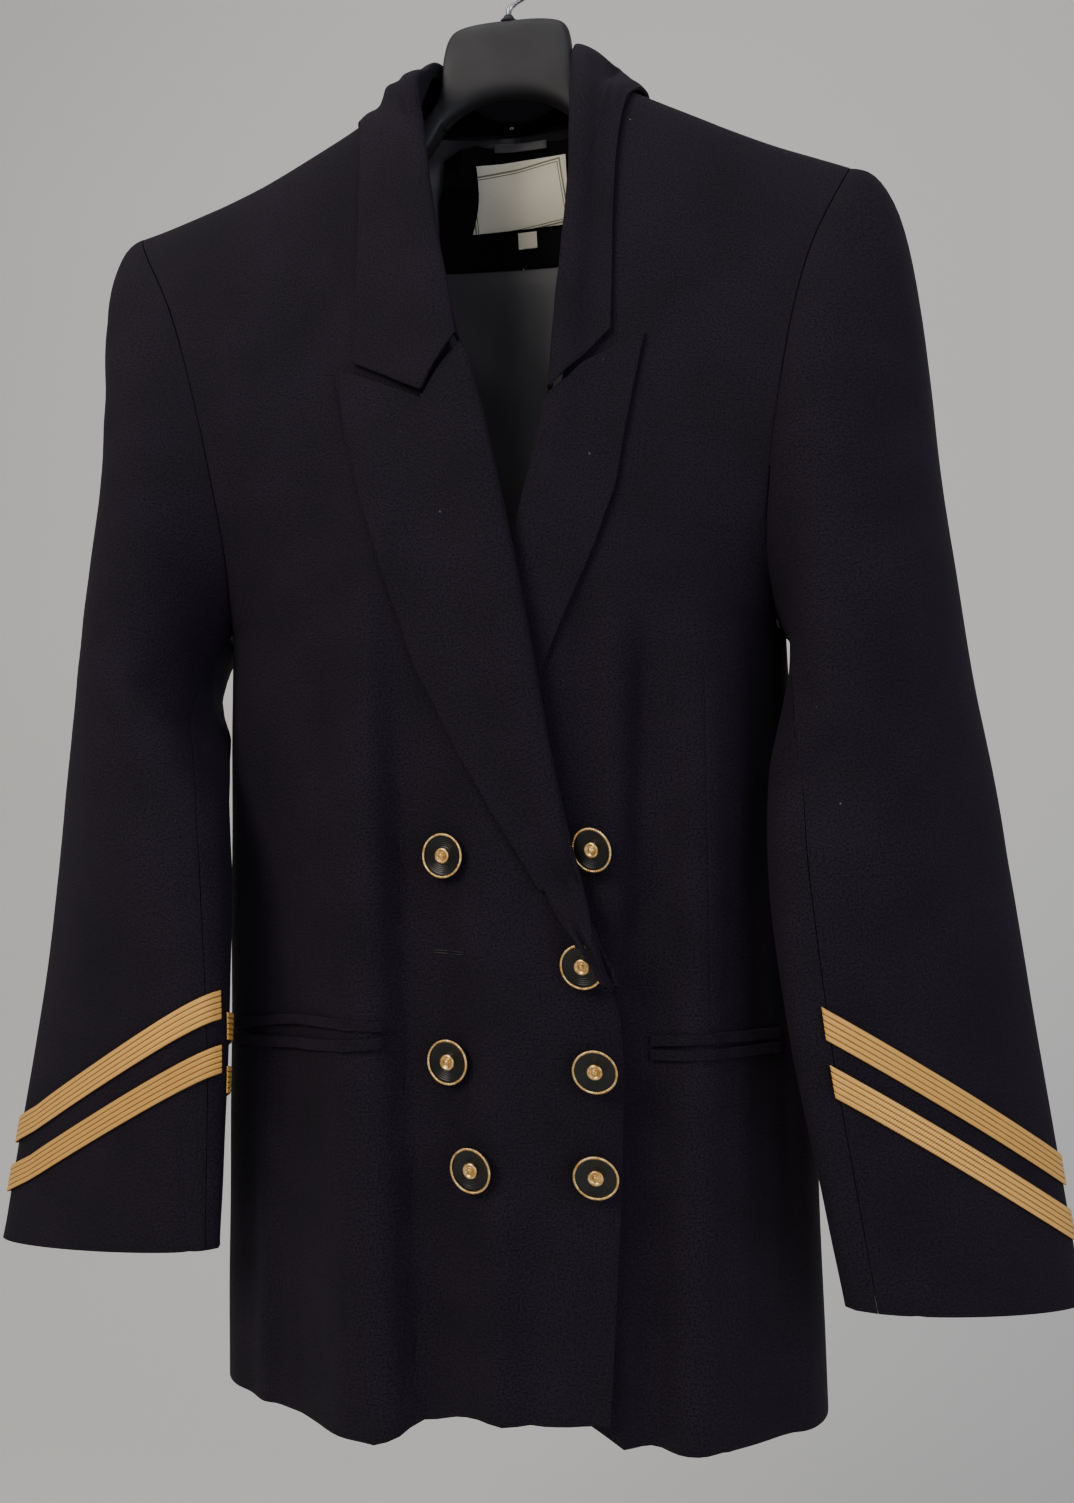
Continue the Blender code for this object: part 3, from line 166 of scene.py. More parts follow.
def goldBraid():  # metallic lace: gilt thread wound on a core, woven in lengthwise ribs with a twill middle
    material, tree, shader = startMaterial("gilt woven braid", Roughness=0.48, Metallic=0.45)
    place = addNode(tree, "ShaderNodeTexCoord").outputs["UV"]
    thread = 0.6283 / braidTwist  # a diagonal wave repeats every 0.6283 / scale
    twill = addNode(tree, "ShaderNodeTexWave", {"Vector": place, "Scale": thread, "Distortion": 0.6},
                    bands_direction="DIAGONAL").outputs["Fac"]
    wear = addNode(tree, "ShaderNodeTexNoise", {"Vector": place, "Scale": 120.0, "Detail": 3.0}).outputs["Fac"]
    height = addNode(tree, "ShaderNodeAttribute", attribute_name="ribHeight").outputs["Fac"]
    for pattern, share in ((twill, 0.28), (wear, 0.3)):
        part = addNode(tree, "ShaderNodeMath", {0: pattern, 1: share}, operation="MULTIPLY").outputs[0]
        height = addNode(tree, "ShaderNodeMath", {0: height, 1: part}, operation="ADD").outputs[0]
    # the colour follows the rib height: painted shade in the grooves between the ribs and painted highlight on
    # their crowns, over the gilt's own colour with its twill pattern and random wear
    gilt = ramp(tree, height, ((0.28, hexColour("#4a2c0c")), (0.62, hexColour("#a66e2a")),
                               (1.0, hexColour("#e6b05c"))))
    tree.links.new(gilt, shader.inputs["Base Color"])
    bump = addNode(tree, "ShaderNodeBump", {"Height": twill, "Strength": 0.6, "Distance": 0.00025})
    tree.links.new(bump.outputs["Normal"], shader.inputs["Normal"])
    return material


def wovenLabel(name, size, lines):  # ivory damask label, with a double border line woven in grey-olive
    material, tree, shader = startMaterial(name, Roughness=0.62)
    place = addNode(tree, "ShaderNodeTexCoord").outputs["UV"]
    split = addNode(tree, "ShaderNodeSeparateXYZ", {"Vector": place})
    edges = []
    for axis, length in (("X", size[0]), ("Y", size[1])):
        middle = addNode(tree, "ShaderNodeMath", {0: split.outputs[axis], 1: length / 2}, operation="SUBTRACT")
        away = addNode(tree, "ShaderNodeMath", {0: middle.outputs[0]}, operation="ABSOLUTE")
        edges.append(addNode(tree, "ShaderNodeMath", {0: length / 2, 1: away.outputs[0]},
                             operation="SUBTRACT").outputs[0])
    inset = addNode(tree, "ShaderNodeMath", {0: edges[0], 1: edges[1]}, operation="MINIMUM").outputs[0]
    ink = 0.0
    for at, half in lines:
        near = addNode(tree, "ShaderNodeMath", {0: inset, 1: at}, operation="SUBTRACT")
        gap = addNode(tree, "ShaderNodeMath", {0: near.outputs[0]}, operation="ABSOLUTE")
        line = addNode(tree, "ShaderNodeMath", {0: gap.outputs[0], 1: half}, operation="LESS_THAN").outputs[0]
        ink = addNode(tree, "ShaderNodeMath", {0: ink, 1: line}, operation="MAXIMUM").outputs[0]
    weft = addNode(tree, "ShaderNodeTexWave", {"Vector": place, "Scale": 0.3142 / 0.0007, "Distortion": 0.5},
                   bands_direction="Y").outputs["Fac"]
    cloth = ramp(tree, weft, ((0.0, hexColour("#e4ddc4")), (1.0, hexColour("#fdf8e6"))))
    woven = blendColours(tree, "MIX", ink, cloth, hexColour("#7e7c62"))
    tree.links.new(woven, shader.inputs["Base Color"])
    bump = addNode(tree, "ShaderNodeBump", {"Height": weft, "Strength": 0.4, "Distance": 0.0002})
    tree.links.new(bump.outputs["Normal"], shader.inputs["Normal"])
    return material


def mouldedPlastic(name, base, rough, grainMm):  # injection-moulded plastic with a spark-eroded matt skin
    material, tree, shader = startMaterial(name, Roughness=rough, IOR=1.59, Specular_IOR_Level=0.3)
    place = addNode(tree, "ShaderNodeTexCoord").outputs["Object"]
    grain = addNode(tree, "ShaderNodeTexNoise", {"Vector": place, "Scale": 1000 / grainMm,
                    "Detail": 2.0}).outputs["Fac"]
    rub = addNode(tree, "ShaderNodeTexNoise", {"Vector": place, "Scale": 35.0, "Detail": 4.0}).outputs["Fac"]
    light = tuple(min(1.0, c * 1.35) for c in hexColour(base)[:3]) + (1.0,)
    tree.links.new(ramp(tree, rub, ((0.35, hexColour(base)), (0.75, light))), shader.inputs["Base Color"])
    polish = ramp(tree, rub, ((0.3, grey(rough)), (0.8, grey(rough * 0.8))))
    tree.links.new(polish, shader.inputs["Roughness"])
    bump = addNode(tree, "ShaderNodeBump", {"Height": grain, "Strength": 0.25, "Distance": 0.0002})
    tree.links.new(bump.outputs["Normal"], shader.inputs["Normal"])
    return material


def platedMetal(name, base, worn, rough):  # thin plating over a cast or drawn core, rubbed bright in places
    material, tree, shader = startMaterial(name, Roughness=rough, Metallic=1.0)
    place = addNode(tree, "ShaderNodeTexCoord").outputs["Object"]
    rub = addNode(tree, "ShaderNodeTexNoise", {"Vector": place, "Scale": 420.0, "Detail": 3.0}).outputs["Fac"]
    plating = ramp(tree, rub, ((0.35, hexColour(worn)), (0.65, hexColour(base))))
    tree.links.new(plating, shader.inputs["Base Color"])
    polish = ramp(tree, rub, ((0.3, grey(rough * 1.5)), (0.7, grey(rough * 0.8))))
    tree.links.new(polish, shader.inputs["Roughness"])
    return material


materials = {
    "wool": woolCloth("worsted wool crepe", woolLook["body"], woolLook["fleck"]),
    "facing": woolCloth("worsted wool neck facing", "#070608", "#100e11"),
    "satin": satinCloth("acetate lining satin", "#4a474c"),
    "braid": goldBraid(),
    "label": wovenLabel("ivory woven label", (0.066, 0.043), ((0.0024, 0.0005), (0.0040, 0.0003))),
    "tab": wovenLabel("ivory woven tab", (0.0125, 0.0105), ()),
    "button": mouldedPlastic("black polyester button", "#030304", 0.3, 0.6),
    "gold": platedMetal("gilt brass", "#f4d59a", "#c4944f", 0.3),
    "hanger": mouldedPlastic("moulded grey polystyrene", "#141216", 0.62, 0.5),
    "steel": platedMetal("zinc-plated steel wire", "#c9c9cc", "#96969a", 0.24),
    "thread": satinCloth("white sewing thread", "#d8d4cc"),
    "darkThread": satinCloth("dark buttonhole twist", "#0d0c10"),
}
print("materials:", len(materials))


# ---- cloth: each panel is the outer skin of its solid, smoothed, creased and given its wall

bodyFolds = {  # face: x and z of the top, x and z of the foot, half width and height, all in mm
    "front": [
        (-61, -380, -42, -868, 9, 1.6), (-47, -400, -27, -868, 7, -2.4),
        (-20, -470, -14, -868, 12, -1.2),
        (-92, -470, -86, -700, 13, 1.0), (-104, -560, -101, -868, 9, -1.2),
        (-140, -470, -138, -868, 10, -1.4),
        (-126, -600, -122, -868, 7, 1.2), (16, -700, 17, -868, 8, 1.5),
        (33, -720, 31, -868, 6, -1.3),
        (50, -690, 52, -868, 9, 0.9), (91, -420, 86, -600, 6, -2.2), (86, -600, 92, -868, 8, -1.4),
        (73, -400, 73, -560, 9, 1.6), (57, -400, 57, -545, 7, -1.2),
        (119, -380, 108, -868, 11, 1.6),
        (136, -430, 130, -868, 8, -1.3), (150, -520, 150, -868, 7, 1.0),
        (161, -560, 165, -868, 6, -1.0),
    ],
    "back": [
        (-108, -250, -116, -868, 14, 1.8), (-84, -330, -90, -868, 9, -2.0),
        (-62, -420, -58, -868, 10, -1.4),
        (-30, -520, -36, -868, 12, 1.2), (-14, -600, -16, -868, 7, -0.9),
        (-136, -470, -140, -868, 8, -1.4),
        (22, -560, 26, -868, 9, 1.2), (48, -480, 44, -868, 8, -1.6), (76, -400, 82, -868, 12, 1.6),
        (98, -280, 106, -868, 10, -1.8), (124, -300, 136, -868, 11, 1.5),
        (150, -480, 158, -868, 8, -1.3),
        (-70, -215, -20, -262, 12, -0.8), (66, -222, 24, -256, 13, -0.7),
    ],
}
sleeveFolds = {  # side: angle round the arm, height, half angle, half height and depth, lengths in mm
    -1: [(150, -455, 22, 9, -1.6), (140, -478, 26, 10, 1.6), (128, -505, 24, 8, -1.4),
         (112, -560, 30, 12, 1.3),
         (96, -592, 26, 9, -1.2), (60, -520, 34, 15, -0.9), (30, -610, 32, 18, 0.9),
         (210, -470, 26, 10, -1.5),
         (228, -500, 28, 12, 1.6), (246, -540, 26, 9, -1.3), (270, -590, 32, 13, 1.2),
         (300, -520, 36, 16, -0.9)],
    1: [(148, -448, 24, 9, -1.5), (136, -474, 24, 11, 1.7), (122, -512, 26, 9, -1.5),
        (104, -548, 28, 12, 1.2),
        (88, -604, 30, 10, -1.3), (52, -540, 36, 16, -0.9), (24, -630, 34, 17, 0.8),
        (214, -462, 26, 11, -1.6),
        (232, -506, 26, 10, 1.5), (252, -534, 28, 10, -1.4), (276, -600, 34, 13, 1.1),
        (304, -548, 34, 15, -0.8)],
}
darts = {  # node: the pressed lines of its darts as x, z points in mm
    "front_right": [[(-90, -490), (-89, -560), (-88, -620)],
                    [(-127, -194), (-114, -222), (-104, -250), (-96, -275), (-92, -295)]],
    "front_left": [[(120.6, -459), (122, -560), (123, -652)]],
    "sleeve_upper_right": [[(-158.5, -705), (-157.7, -784)]],
    "sleeve_upper_left": [[(209.3, -738), (223.5, -786)]],
}
clothRules = {
    "levels": 2,  # each cell of a panel becomes 16
    "wall": 0.0018,  # wool, its interlining and its turned edges
    "softEdge": 0.0006,
    "leastCut": 0.0101,  # narrow strips are cut at least this wide and folded
    "foldGain": 2.3,
    "dartDepth": 0.0009,
    "dartHalf": 0.0026,
}


def bodyLift(points, normals):  # how far the hanging folds move each point of the body along its normal
    rise = np.zeros(len(points))
    for face, sign in (("front", -1.0), ("back", 1.0)):
        weight = np.clip(normals[:, 1] * sign * 1.6, 0.0, 1.0)
        for topX, topZ, footX, footZ, half, high in bodyFolds[face]:
            start = np.array((topX, topZ)) / 1000
            run = np.array((footX, footZ)) / 1000 - start
            length = np.linalg.norm(run)
            away = points[:, (0, 2)] - start
            along = away @ run / length ** 2
            aside = np.abs(away[:, 0] * run[1] - away[:, 1] * run[0]) / length
            fade = np.clip(along * 3.0, 0.0, 1.0)
            fade = fade * fade * (3 - 2 * fade) * (along < 1.2)
            bell = np.exp(-(aside / (half / 1000)) ** 2)
            rise += weight * fade * high / 1000 * bell * clothRules["foldGain"]
    wave = np.sin(points[:, 0] * 61 + points[:, 2] * 17) * np.sin(points[:, 2] * 43 - points[:, 0] * 23 + 1.3)
    return rise + wave * 0.0003


def liningLift(points, normals):  # the lining faces forward and moves with the back that it hangs in
    return -bodyLift(points, -normals)


def sleeveLift(side):  # the same for an arm, whose middle line is read off its solids
    hand = "right" if side < 0 else "left"
    nodes = ("sleeve_upper_" + hand, "sleeve_under_" + hand)
    low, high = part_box(nodes[0])
    cloud = np.array([vert.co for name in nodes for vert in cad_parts[name].data.vertices])
    heights = np.arange(low.z + 0.01, high.z - 0.08, 0.03)
    middle = np.array([cloud[np.abs(cloud[:, 2] - z) < 0.02].mean(axis=0) for z in heights])

    def lift(points, normals):
        centreX = np.interp(points[:, 2], middle[:, 2], middle[:, 0])
        centreY = np.interp(points[:, 2], middle[:, 2], middle[:, 1])
        turn = np.degrees(np.arctan2(-(points[:, 1] - centreY), (points[:, 0] - centreX) * side))
        rise = np.zeros(len(points))
        for angle, z, halfAngle, half, deep in sleeveFolds[side]:
            apart = (turn - angle + 180) % 360 - 180
            slant = points[:, 2] - z / 1000 + apart * 0.0004
            rise += deep / 1000 * np.exp(-(apart / halfAngle) ** 2 - (slant / (half / 1000)) ** 2)
        return rise

    return lift


def skinOf(node, thick, facing):  # the side of a walled solid that shows, as an open skin
    work = bmesh.new()
    work.from_mesh(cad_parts[node].data)
    bmesh.ops.remove_doubles(work, verts=work.verts, dist=0.00002)
    tree = BVHTree.FromBMesh(work)
    work.faces.ensure_lookup_table()
    across = {}  # each face of the skins and the face behind it, on the wall's other side
    for face in work.faces:
        hit = tree.ray_cast(face.calc_center_median() - face.normal * 0.0001, -face.normal)
        if hit[0] is not None and hit[3] < thick * 1.75 and hit[1].dot(face.normal) < -0.5:
            across[face] = work.faces[hit[2]]
    islands = []
    unseen = set(across)
    while unseen:
        island = [unseen.pop()]
        for face in island:
            for edge in face.edges:
                for other in edge.link_faces:
                    if other in unseen and other.normal.dot(face.normal) > 0.2:
                        unseen.remove(other)
                        island.append(other)
        islands.append(island)
    areas = {face: face.calc_area() for face in work.faces}
    centre = sum((face.calc_center_median() * areas[face] for face in across), Vector())
    centre /= sum(areas[face] for face in across)

    def shows(island):
        if facing is not None:
            return sum(areas[face] * face.normal.dot(facing) for face in island)
        return sum(areas[face] * face.normal.dot(face.calc_center_median() - centre) for face in island)

    islands.sort(key=len, reverse=True)
    first = max(islands[:2], key=shows)
    side = {face: 1 for face in first}
    for island in islands:
        if island is not first:
            vote = sum(-side.get(across[face], 0) for face in island)
            side.update({face: 1 if vote > 0 else -1 for face in island})
    drop = [face for face in work.faces if side.get(face, -1) < 0]
    bmesh.ops.delete(work, geom=drop, context="FACES")
    return work


def markCorners(work):  # sharp corners of the cut stay sharp when the skin is smoothed
    layer = work.verts.layers.float.new("crease_vert")
    for vert in work.verts:
        rim = [edge.other_vert(vert).co - vert.co for edge in vert.link_edges if edge.is_boundary]
        if len(rim) == 2 and rim[0].length * rim[1].length > 0:
            if rim[0].angle(-rim[1]) > math.radians(33):
                vert[layer] = 1.0


def readCo(mesh):
    co = np.zeros(len(mesh.vertices) * 3)
    mesh.vertices.foreach_get("co", co)
    return co.reshape(-1, 3)


def readNormals(mesh):
    out = np.zeros(len(mesh.vertices) * 3)
    mesh.vertex_normals.foreach_get("vector", out)
    return out.reshape(-1, 3)


def flatten(piece, byEdge):  # lays the skin flat like the cutter's pattern, its UV in metres; returns the cut
    for other in bpy.context.selected_objects:
        other.select_set(False)
    piece.select_set(True)
    bpy.context.view_layer.objects.active = piece
    bpy.ops.object.mode_set(mode="EDIT")
    bpy.ops.mesh.select_all(action="SELECT")
    bpy.ops.uv.unwrap(method="ANGLE_BASED", margin=0.0)
    bpy.ops.object.mode_set(mode="OBJECT")
    mesh = piece.data
    count = len(mesh.loops)
    uv = np.zeros(count * 2)
    mesh.uv_layers.active.data.foreach_get("uv", uv)
    uv = uv.reshape(-1, 2)
    owner = np.zeros(count, dtype=int)
    mesh.loops.foreach_get("vertex_index", owner)
    co = readCo(mesh)[owner]
    areaFlat = 0.0
    for face in mesh.polygons:
        ring = uv[list(face.loop_indices)]
        ahead = np.roll(ring, 1, axis=0)
        areaFlat += 0.5 * abs(np.dot(ring[:, 0], ahead[:, 1]) - np.dot(ring[:, 1], ahead[:, 0]))
    area = sum(face.area for face in mesh.polygons)
    uv *= math.sqrt(area / areaFlat)
    uv -= uv.mean(axis=0)
    if byEdge:
        _, _, axes = np.linalg.svd(uv, full_matrices=False)
        along, across = axes[0], np.array((-axes[0][1], axes[0][0]))
        centred = co - co.mean(axis=0)
        if (uv @ along) @ centred[:, 0] < 0:
            along, across = -along, -across
    else:
        pull = uv.T @ (co[:, 2] - co[:, 2].mean())
        across = pull / np.linalg.norm(pull)
        along = np.array((across[1], -across[0]))
    uv = np.stack((uv @ along, uv @ across), axis=1)
    uv -= uv.min(axis=0)
    mesh.uv_layers.active.data.foreach_set("uv", uv.ravel())
    size = uv.max(axis=0)
    return (float(size[0]), float(size[1])), float(area)


def fitSmooth(piece, levels):  # subdivision whose surface still passes through the points of the solid
    target = readCo(piece.data)
    control = target.copy()
    smooth = piece.modifiers.new("Smooth", "SUBSURF")
    smooth.levels = smooth.render_levels = levels
    smooth.boundary_smooth = "PRESERVE_CORNERS"
    for _ in range(4):
        dg = bpy.context.evaluated_depsgraph_get()
        dg.update()
        shape = piece.evaluated_get(dg).to_mesh()
        control += target - readCo(shape)[:len(target)]
        piece.evaluated_get(dg).to_mesh_clear()
        piece.data.vertices.foreach_set("co", control.ravel())
        piece.data.update()
    dg = bpy.context.evaluated_depsgraph_get()
    dg.update()
    result = bpy.data.meshes.new_from_object(piece.evaluated_get(dg))
    piece.modifiers.clear()
    piece.data = result
    return piece


def pressLines(mesh, lines):  # signed distance to the nearest dart, for the groove in the wool's material
    far = 0.01
    co = readCo(mesh)
    best = np.full(len(co), far)
    for line in lines:
        for (x1, z1), (x2, z2) in zip(line, line[1:]):
            start = np.array((x1, z1)) / 1000
            run = np.array((x2, z2)) / 1000 - start
            away = co[:, (0, 2)] - start
            along = away @ run / (run @ run)
            aside = (away[:, 0] * run[1] - away[:, 1] * run[0]) / np.linalg.norm(run)
            inside = (along > -0.02) & (along < 1.02) & (np.abs(aside) < np.abs(best))
            best = np.where(inside, aside, best)
    layer = mesh.attributes.new("dartLine", "FLOAT", "POINT")
    layer.data.foreach_set("value", best)
    bell = np.exp(-(best / clothRules["dartHalf"]) ** 2)
    co -= readNormals(mesh) * (clothRules["dartDepth"] * bell)[:, None]
    mesh.vertices.foreach_set("co", co.ravel())
    mesh.update()


flatSizes = {}


def clothPiece(node, material, facing=None, lift=None, wall=None, inside=None, solid=0.0022,
               levels=None, byEdge=False, cut=None):
    work = skinOf(node, solid, facing)
    turn = math.radians(40)
    bmesh.ops.join_triangles(work, faces=work.faces, angle_face_threshold=turn, angle_shape_threshold=turn)
    markCorners(work)
    mesh = bpy.data.meshes.new(node + "_cloth")
    work.to_mesh(mesh)
    work.free()
    piece = bpy.data.objects.new(node + "_cloth", mesh)
    bpy.context.scene.collection.objects.link(piece)
    mesh.uv_layers.new(name="cut")
    size, area = flatten(piece, byEdge)
    fitSmooth(piece, clothRules["levels"] if levels is None else levels)
    mesh = piece.data
    if lift is not None:
        co, normals = readCo(mesh), readNormals(mesh)
        co += normals * lift(co, normals)[:, None]
        mesh.vertices.foreach_set("co", co.ravel())
        mesh.update()
    pressLines(mesh, darts.get(node, ()))
    mesh.shade_smooth()
    mesh.materials.clear()
    mesh.materials.append(materials[material])
    mesh.materials.append(materials[inside or material])
    walls = piece.modifiers.new("Wall", "SOLIDIFY")
    walls.thickness = clothRules["wall"] if wall is None else wall
    walls.offset = -1.0
    walls.material_offset = 1
    edge = piece.modifiers.new("Soft edge", "BEVEL")
    edge.width = min(clothRules["softEdge"], walls.thickness * 0.3)
    edge.segments = 2
    edge.limit_method = "ANGLE"
    edge.angle_limit = math.radians(50)
    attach(piece, "root")
    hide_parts(node)
    size = cut or tuple(max(side, clothRules["leastCut"]) for side in size)
    flatSizes[node] = (round(size[0], 3), round(size[1], 3), round(area, 4))
    return piece


toFront = Vector((0, -1, 0))
pieces = {}
for node in ("front_right", "front_left", "back_right", "back_left"):
    pieces[node] = clothPiece(node, "wool", lift=bodyLift, inside="satin")
print("body panels")
for side, hand in ((-1, "right"), (1, "left")):
    for part in ("sleeve_upper_", "sleeve_under_"):
        pieces[part + hand] = clothPiece(part + hand, "wool", lift=sleeveLift(side), inside="satin")
print("sleeves")
pieces["lapel_right"] = clothPiece("lapel_right", "wool", facing=toFront, lift=bodyLift, levels=3)
pieces["lapel_left"] = clothPiece("lapel_left", "wool", facing=toFront, lift=bodyLift, levels=3)
pieces["collar"] = clothPiece("collar", "wool", facing=Vector((0, -0.25, 0.3)), levels=3,
                              cut=(0.12, 0.56))
print("lapels and collar")
pieces["neck_facing"] = clothPiece("neck_facing", "facing", facing=toFront, wall=0.0012)
pieces["lining_back"] = clothPiece("lining_back", "satin", facing=toFront, lift=liningLift,
                                   wall=0.0006, solid=0.0012)
pieces["label"] = clothPiece("label", "label", facing=toFront, wall=0.0006, solid=0.0011,
                             byEdge=True)
pieces["size_tab"] = clothPiece("size_tab", "tab", facing=toFront, wall=0.0006, solid=0.0011,
                                byEdge=True)
pieces["hanger_loop"] = clothPiece("hanger_loop", "satin", facing=toFront, wall=0.0008, solid=0.0015,
                                   byEdge=True)
for hand in ("right", "left"):
    for place in ("upper", "lower"):
        name = "welt_" + place + "_" + hand
        pieces[name] = clothPiece(name, "wool", facing=toFront, lift=bodyLift, wall=0.0014,
                                  solid=0.0019, byEdge=True)
print("inside of the neck and pockets")


# ---- gold braid, laid along the two edges of its solid

braidLook = {
    "across": 40,
    "along": 150,
    "wall": 0.0007,
    "cut": 0.0135,
    "ribs": ((0.0, 0.35), (0.05, 0.85), (0.16, 0.90), (0.20, 0.05), (0.24, 0.85), (0.36, 0.90),
             (0.40, 0.05), (0.44, 0.90), (0.56, 0.90), (0.60, 0.05), (0.64, 0.90), (0.76, 0.85),
             (0.80, 0.05), (0.84, 0.90), (0.95, 0.85), (1.0, 0.35)),  # place across and height, five ribs
    "ribHeight": 0.0005,
}


def edgeChains(work):  # the two long edges of a strip and its middle, point for point
    start = next(vert for vert in work.verts if any(edge.is_boundary for edge in vert.link_edges))
    loop = [start]
    while True:
        ahead = [edge.other_vert(loop[-1]) for edge in loop[-1].link_edges if edge.is_boundary]
        step = [vert for vert in ahead if len(loop) < 2 or vert is not loop[-2]]
        if step[0] is start:
            break
        loop.append(step[0])
    count = len(loop)

    def bend(i):
        before, here, after = loop[i - 1].co, loop[i].co, loop[(i + 1) % count].co
        return (here - before).angle(after - here)

    ends = max(range(count), key=lambda i: bend(i) + bend((i + 2) % count))
    loop = loop[ends:] + loop[:ends]
    rows = (count - 4) // 2
    first = [vert.co.copy() for vert in loop[2:3 + rows]]
    second = [vert.co.copy() for vert in ([loop[0]] + loop[:-rows - 1:-1])]
    inner = [vert.co.copy() for vert in work.verts if not any(edge.is_boundary for edge in vert.link_edges)]
    inner += [loop[1].co.copy(), loop[3 + rows].co.copy()]
    tree = KDTree(len(inner))
    for i, co in enumerate(inner):
        tree.insert(co, i)
    tree.balance()
    middle = [tree.find((a + b) / 2)[0] for a, b in zip(first, second)]
    return np.array(first), np.array(middle), np.array(second)


def alongChain(chain, share):  # a point of a chain, on a smooth curve that keeps the corner of the chevron
    half = (len(chain) - 1) // 2
    part = chain[:half + 1] if share <= 0.5 else chain[half:]
    t = (share if share <= 0.5 else share - 0.5) * 2 * (len(part) - 1)
    i = min(int(t), len(part) - 2)
    t -= i
    p1, p2 = part[i], part[i + 1]
    p0 = part[i - 1] if i > 0 else 2 * p1 - p2
    p3 = part[i + 2] if i + 2 < len(part) else 2 * p2 - p1
    square = (2 * p0 - 5 * p1 + 4 * p2 - p3) * t ** 2
    cube = (3 * p1 - p0 - 3 * p2 + p3) * t ** 3
    return 0.5 * (2 * p1 + (p2 - p0) * t + square + cube)


def braidPiece(node, hand):
    work = skinOf(node, 0.0011, None)
    chains = edgeChains(work)
    work.free()
    look = braidLook
    work = bmesh.new()
    bmesh.ops.create_grid(work, x_segments=look["across"], y_segments=look["along"], size=1.0)
    uvLayer = work.loops.layers.uv.new("cut")
    rib = work.verts.layers.float.new("ribHeight")
    ribPlaces, ribHeights = zip(*look["ribs"])
    length = sum(float(np.linalg.norm(a - b)) for a, b in zip(chains[1], chains[1][1:]))
    flat = {}
    for vert in work.verts:
        u, v = (vert.co.x + 1) / 2, (vert.co.y + 1) / 2
        a, m, b = (alongChain(chain, v) for chain in chains)
        middle = 2 * m - (a + b) / 2
        vert.co = Vector(a * (1 - u) ** 2 + middle * 2 * u * (1 - u) + b * u ** 2)
        vert[rib] = float(np.interp(u, ribPlaces, ribHeights))
        flat[vert] = (v * length, u * look["cut"])
    for face in work.faces:
        for loop in face.loops:
            loop[uvLayer].uv = flat[loop.vert]
    work.normal_update()
    centre = Vector(chains[1].mean(axis=0))
    if sum(face.normal.dot(face.calc_center_median() - centre) for face in work.faces) < 0:
        bmesh.ops.reverse_faces(work, faces=work.faces)
    work.normal_update()
    for vert in work.verts:
        vert.co += vert.normal * ((vert[rib] - 0.5) * look["ribHeight"])
    mesh = bpy.data.meshes.new(node + "_lace")
    work.to_mesh(mesh)
    work.free()
    mesh.shade_smooth()
    mesh.materials.append(materials["braid"])
    piece = bpy.data.objects.new(node + "_lace", mesh)
    bpy.context.scene.collection.objects.link(piece)
    co, normals = readCo(mesh), readNormals(mesh)
    co += normals * sleeveLift(-1 if hand == "right" else 1)(co, normals)[:, None]
    mesh.vertices.foreach_set("co", co.ravel())
    walls = piece.modifiers.new("Wall", "SOLIDIFY")
    walls.thickness = look["wall"]
    walls.offset = -1.0
    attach(piece, "root")
    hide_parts(node)
    area = sum(face.area for face in mesh.polygons)
    flatSizes[node] = (look["cut"], round(length, 3), round(area, 4))
    return piece


for hand in ("right", "left"):
    for place in ("upper", "lower"):
        name = "braid_" + place + "_" + hand
        pieces[name] = braidPiece(name, hand)
print("braid")


# ---- buttons: a turned black disc, a milled gilt rim and a gilt boss

buttonLook = {
    "radius": 0.0118,
    "rings": 5,  # fine turned rings of the dished face
    "beads": 60,  # twists of the milled rim
    "steps": 64,
    "bossSteps": 40,
    "wire": 0.00085,
}


def spun(profile, steps):  # a closed turned shape about Z from (radius, height) points
    work = bmesh.new()
    verts = [work.verts.new((radius, 0.0, height)) for radius, height in profile]
    for first, second in zip(verts, verts[1:]):
        work.edges.new((first, second))
    bmesh.ops.spin(work, geom=work.verts[:] + work.edges[:], cent=(0, 0, 0), axis=(0, 0, 1),
                   angle=math.tau, steps=steps, use_merge=True)
    bmesh.ops.remove_doubles(work, verts=work.verts, dist=0.000005)
    bmesh.ops.recalc_face_normals(work, faces=work.faces)
    return work


def seatOf(rimNode):  # where a button sits and which way it looks, from the rim of its solid
    co = np.array([vert.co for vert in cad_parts[rimNode].data.vertices])
    low, high = co.min(axis=0), co.max(axis=0)
    centre = co.mean(axis=0)
    _, _, axes = np.linalg.svd(co - centre, full_matrices=False)
    axis = Vector(axes[2])
    if axis.y > 0:
        axis.negate()
    lift = bodyLift(np.array([centre]), np.array([[0.0, -1.0, 0.0]]))[0]
    centre = Vector(centre) + Vector((0, -lift, 0))
    return Matrix.Translation(centre) @ axis.to_track_quat("Z", "Y").to_matrix().to_4x4()


def discShape():
    r = buttonLook["radius"]
    top = -0.0004
    profile = [(0.0, -0.0013)]
    inner, outer = 0.0046, r - 0.0021
    for i in range(buttonLook["rings"] * 4 + 1):
        t = i / (buttonLook["rings"] * 4)
        ripple = 0.00010 * math.cos(t * buttonLook["rings"] * math.tau)
        profile.append((inner + (outer - inner) * t, -0.0013 + 0.0007 * t ** 1.6 + ripple))
    profile += [(r - 0.0014, top - 0.0002), (r - 0.0009, top), (r - 0.0003, top - 0.0004),
                (r - 0.0001, top - 0.0012), (r - 0.0008, top - 0.0020), (r * 0.72, -0.0033),
                (r * 0.3, -0.0036), (r * 0.22, -0.0048), (0.0, -0.0048)]
    return spun(profile, buttonLook["steps"])


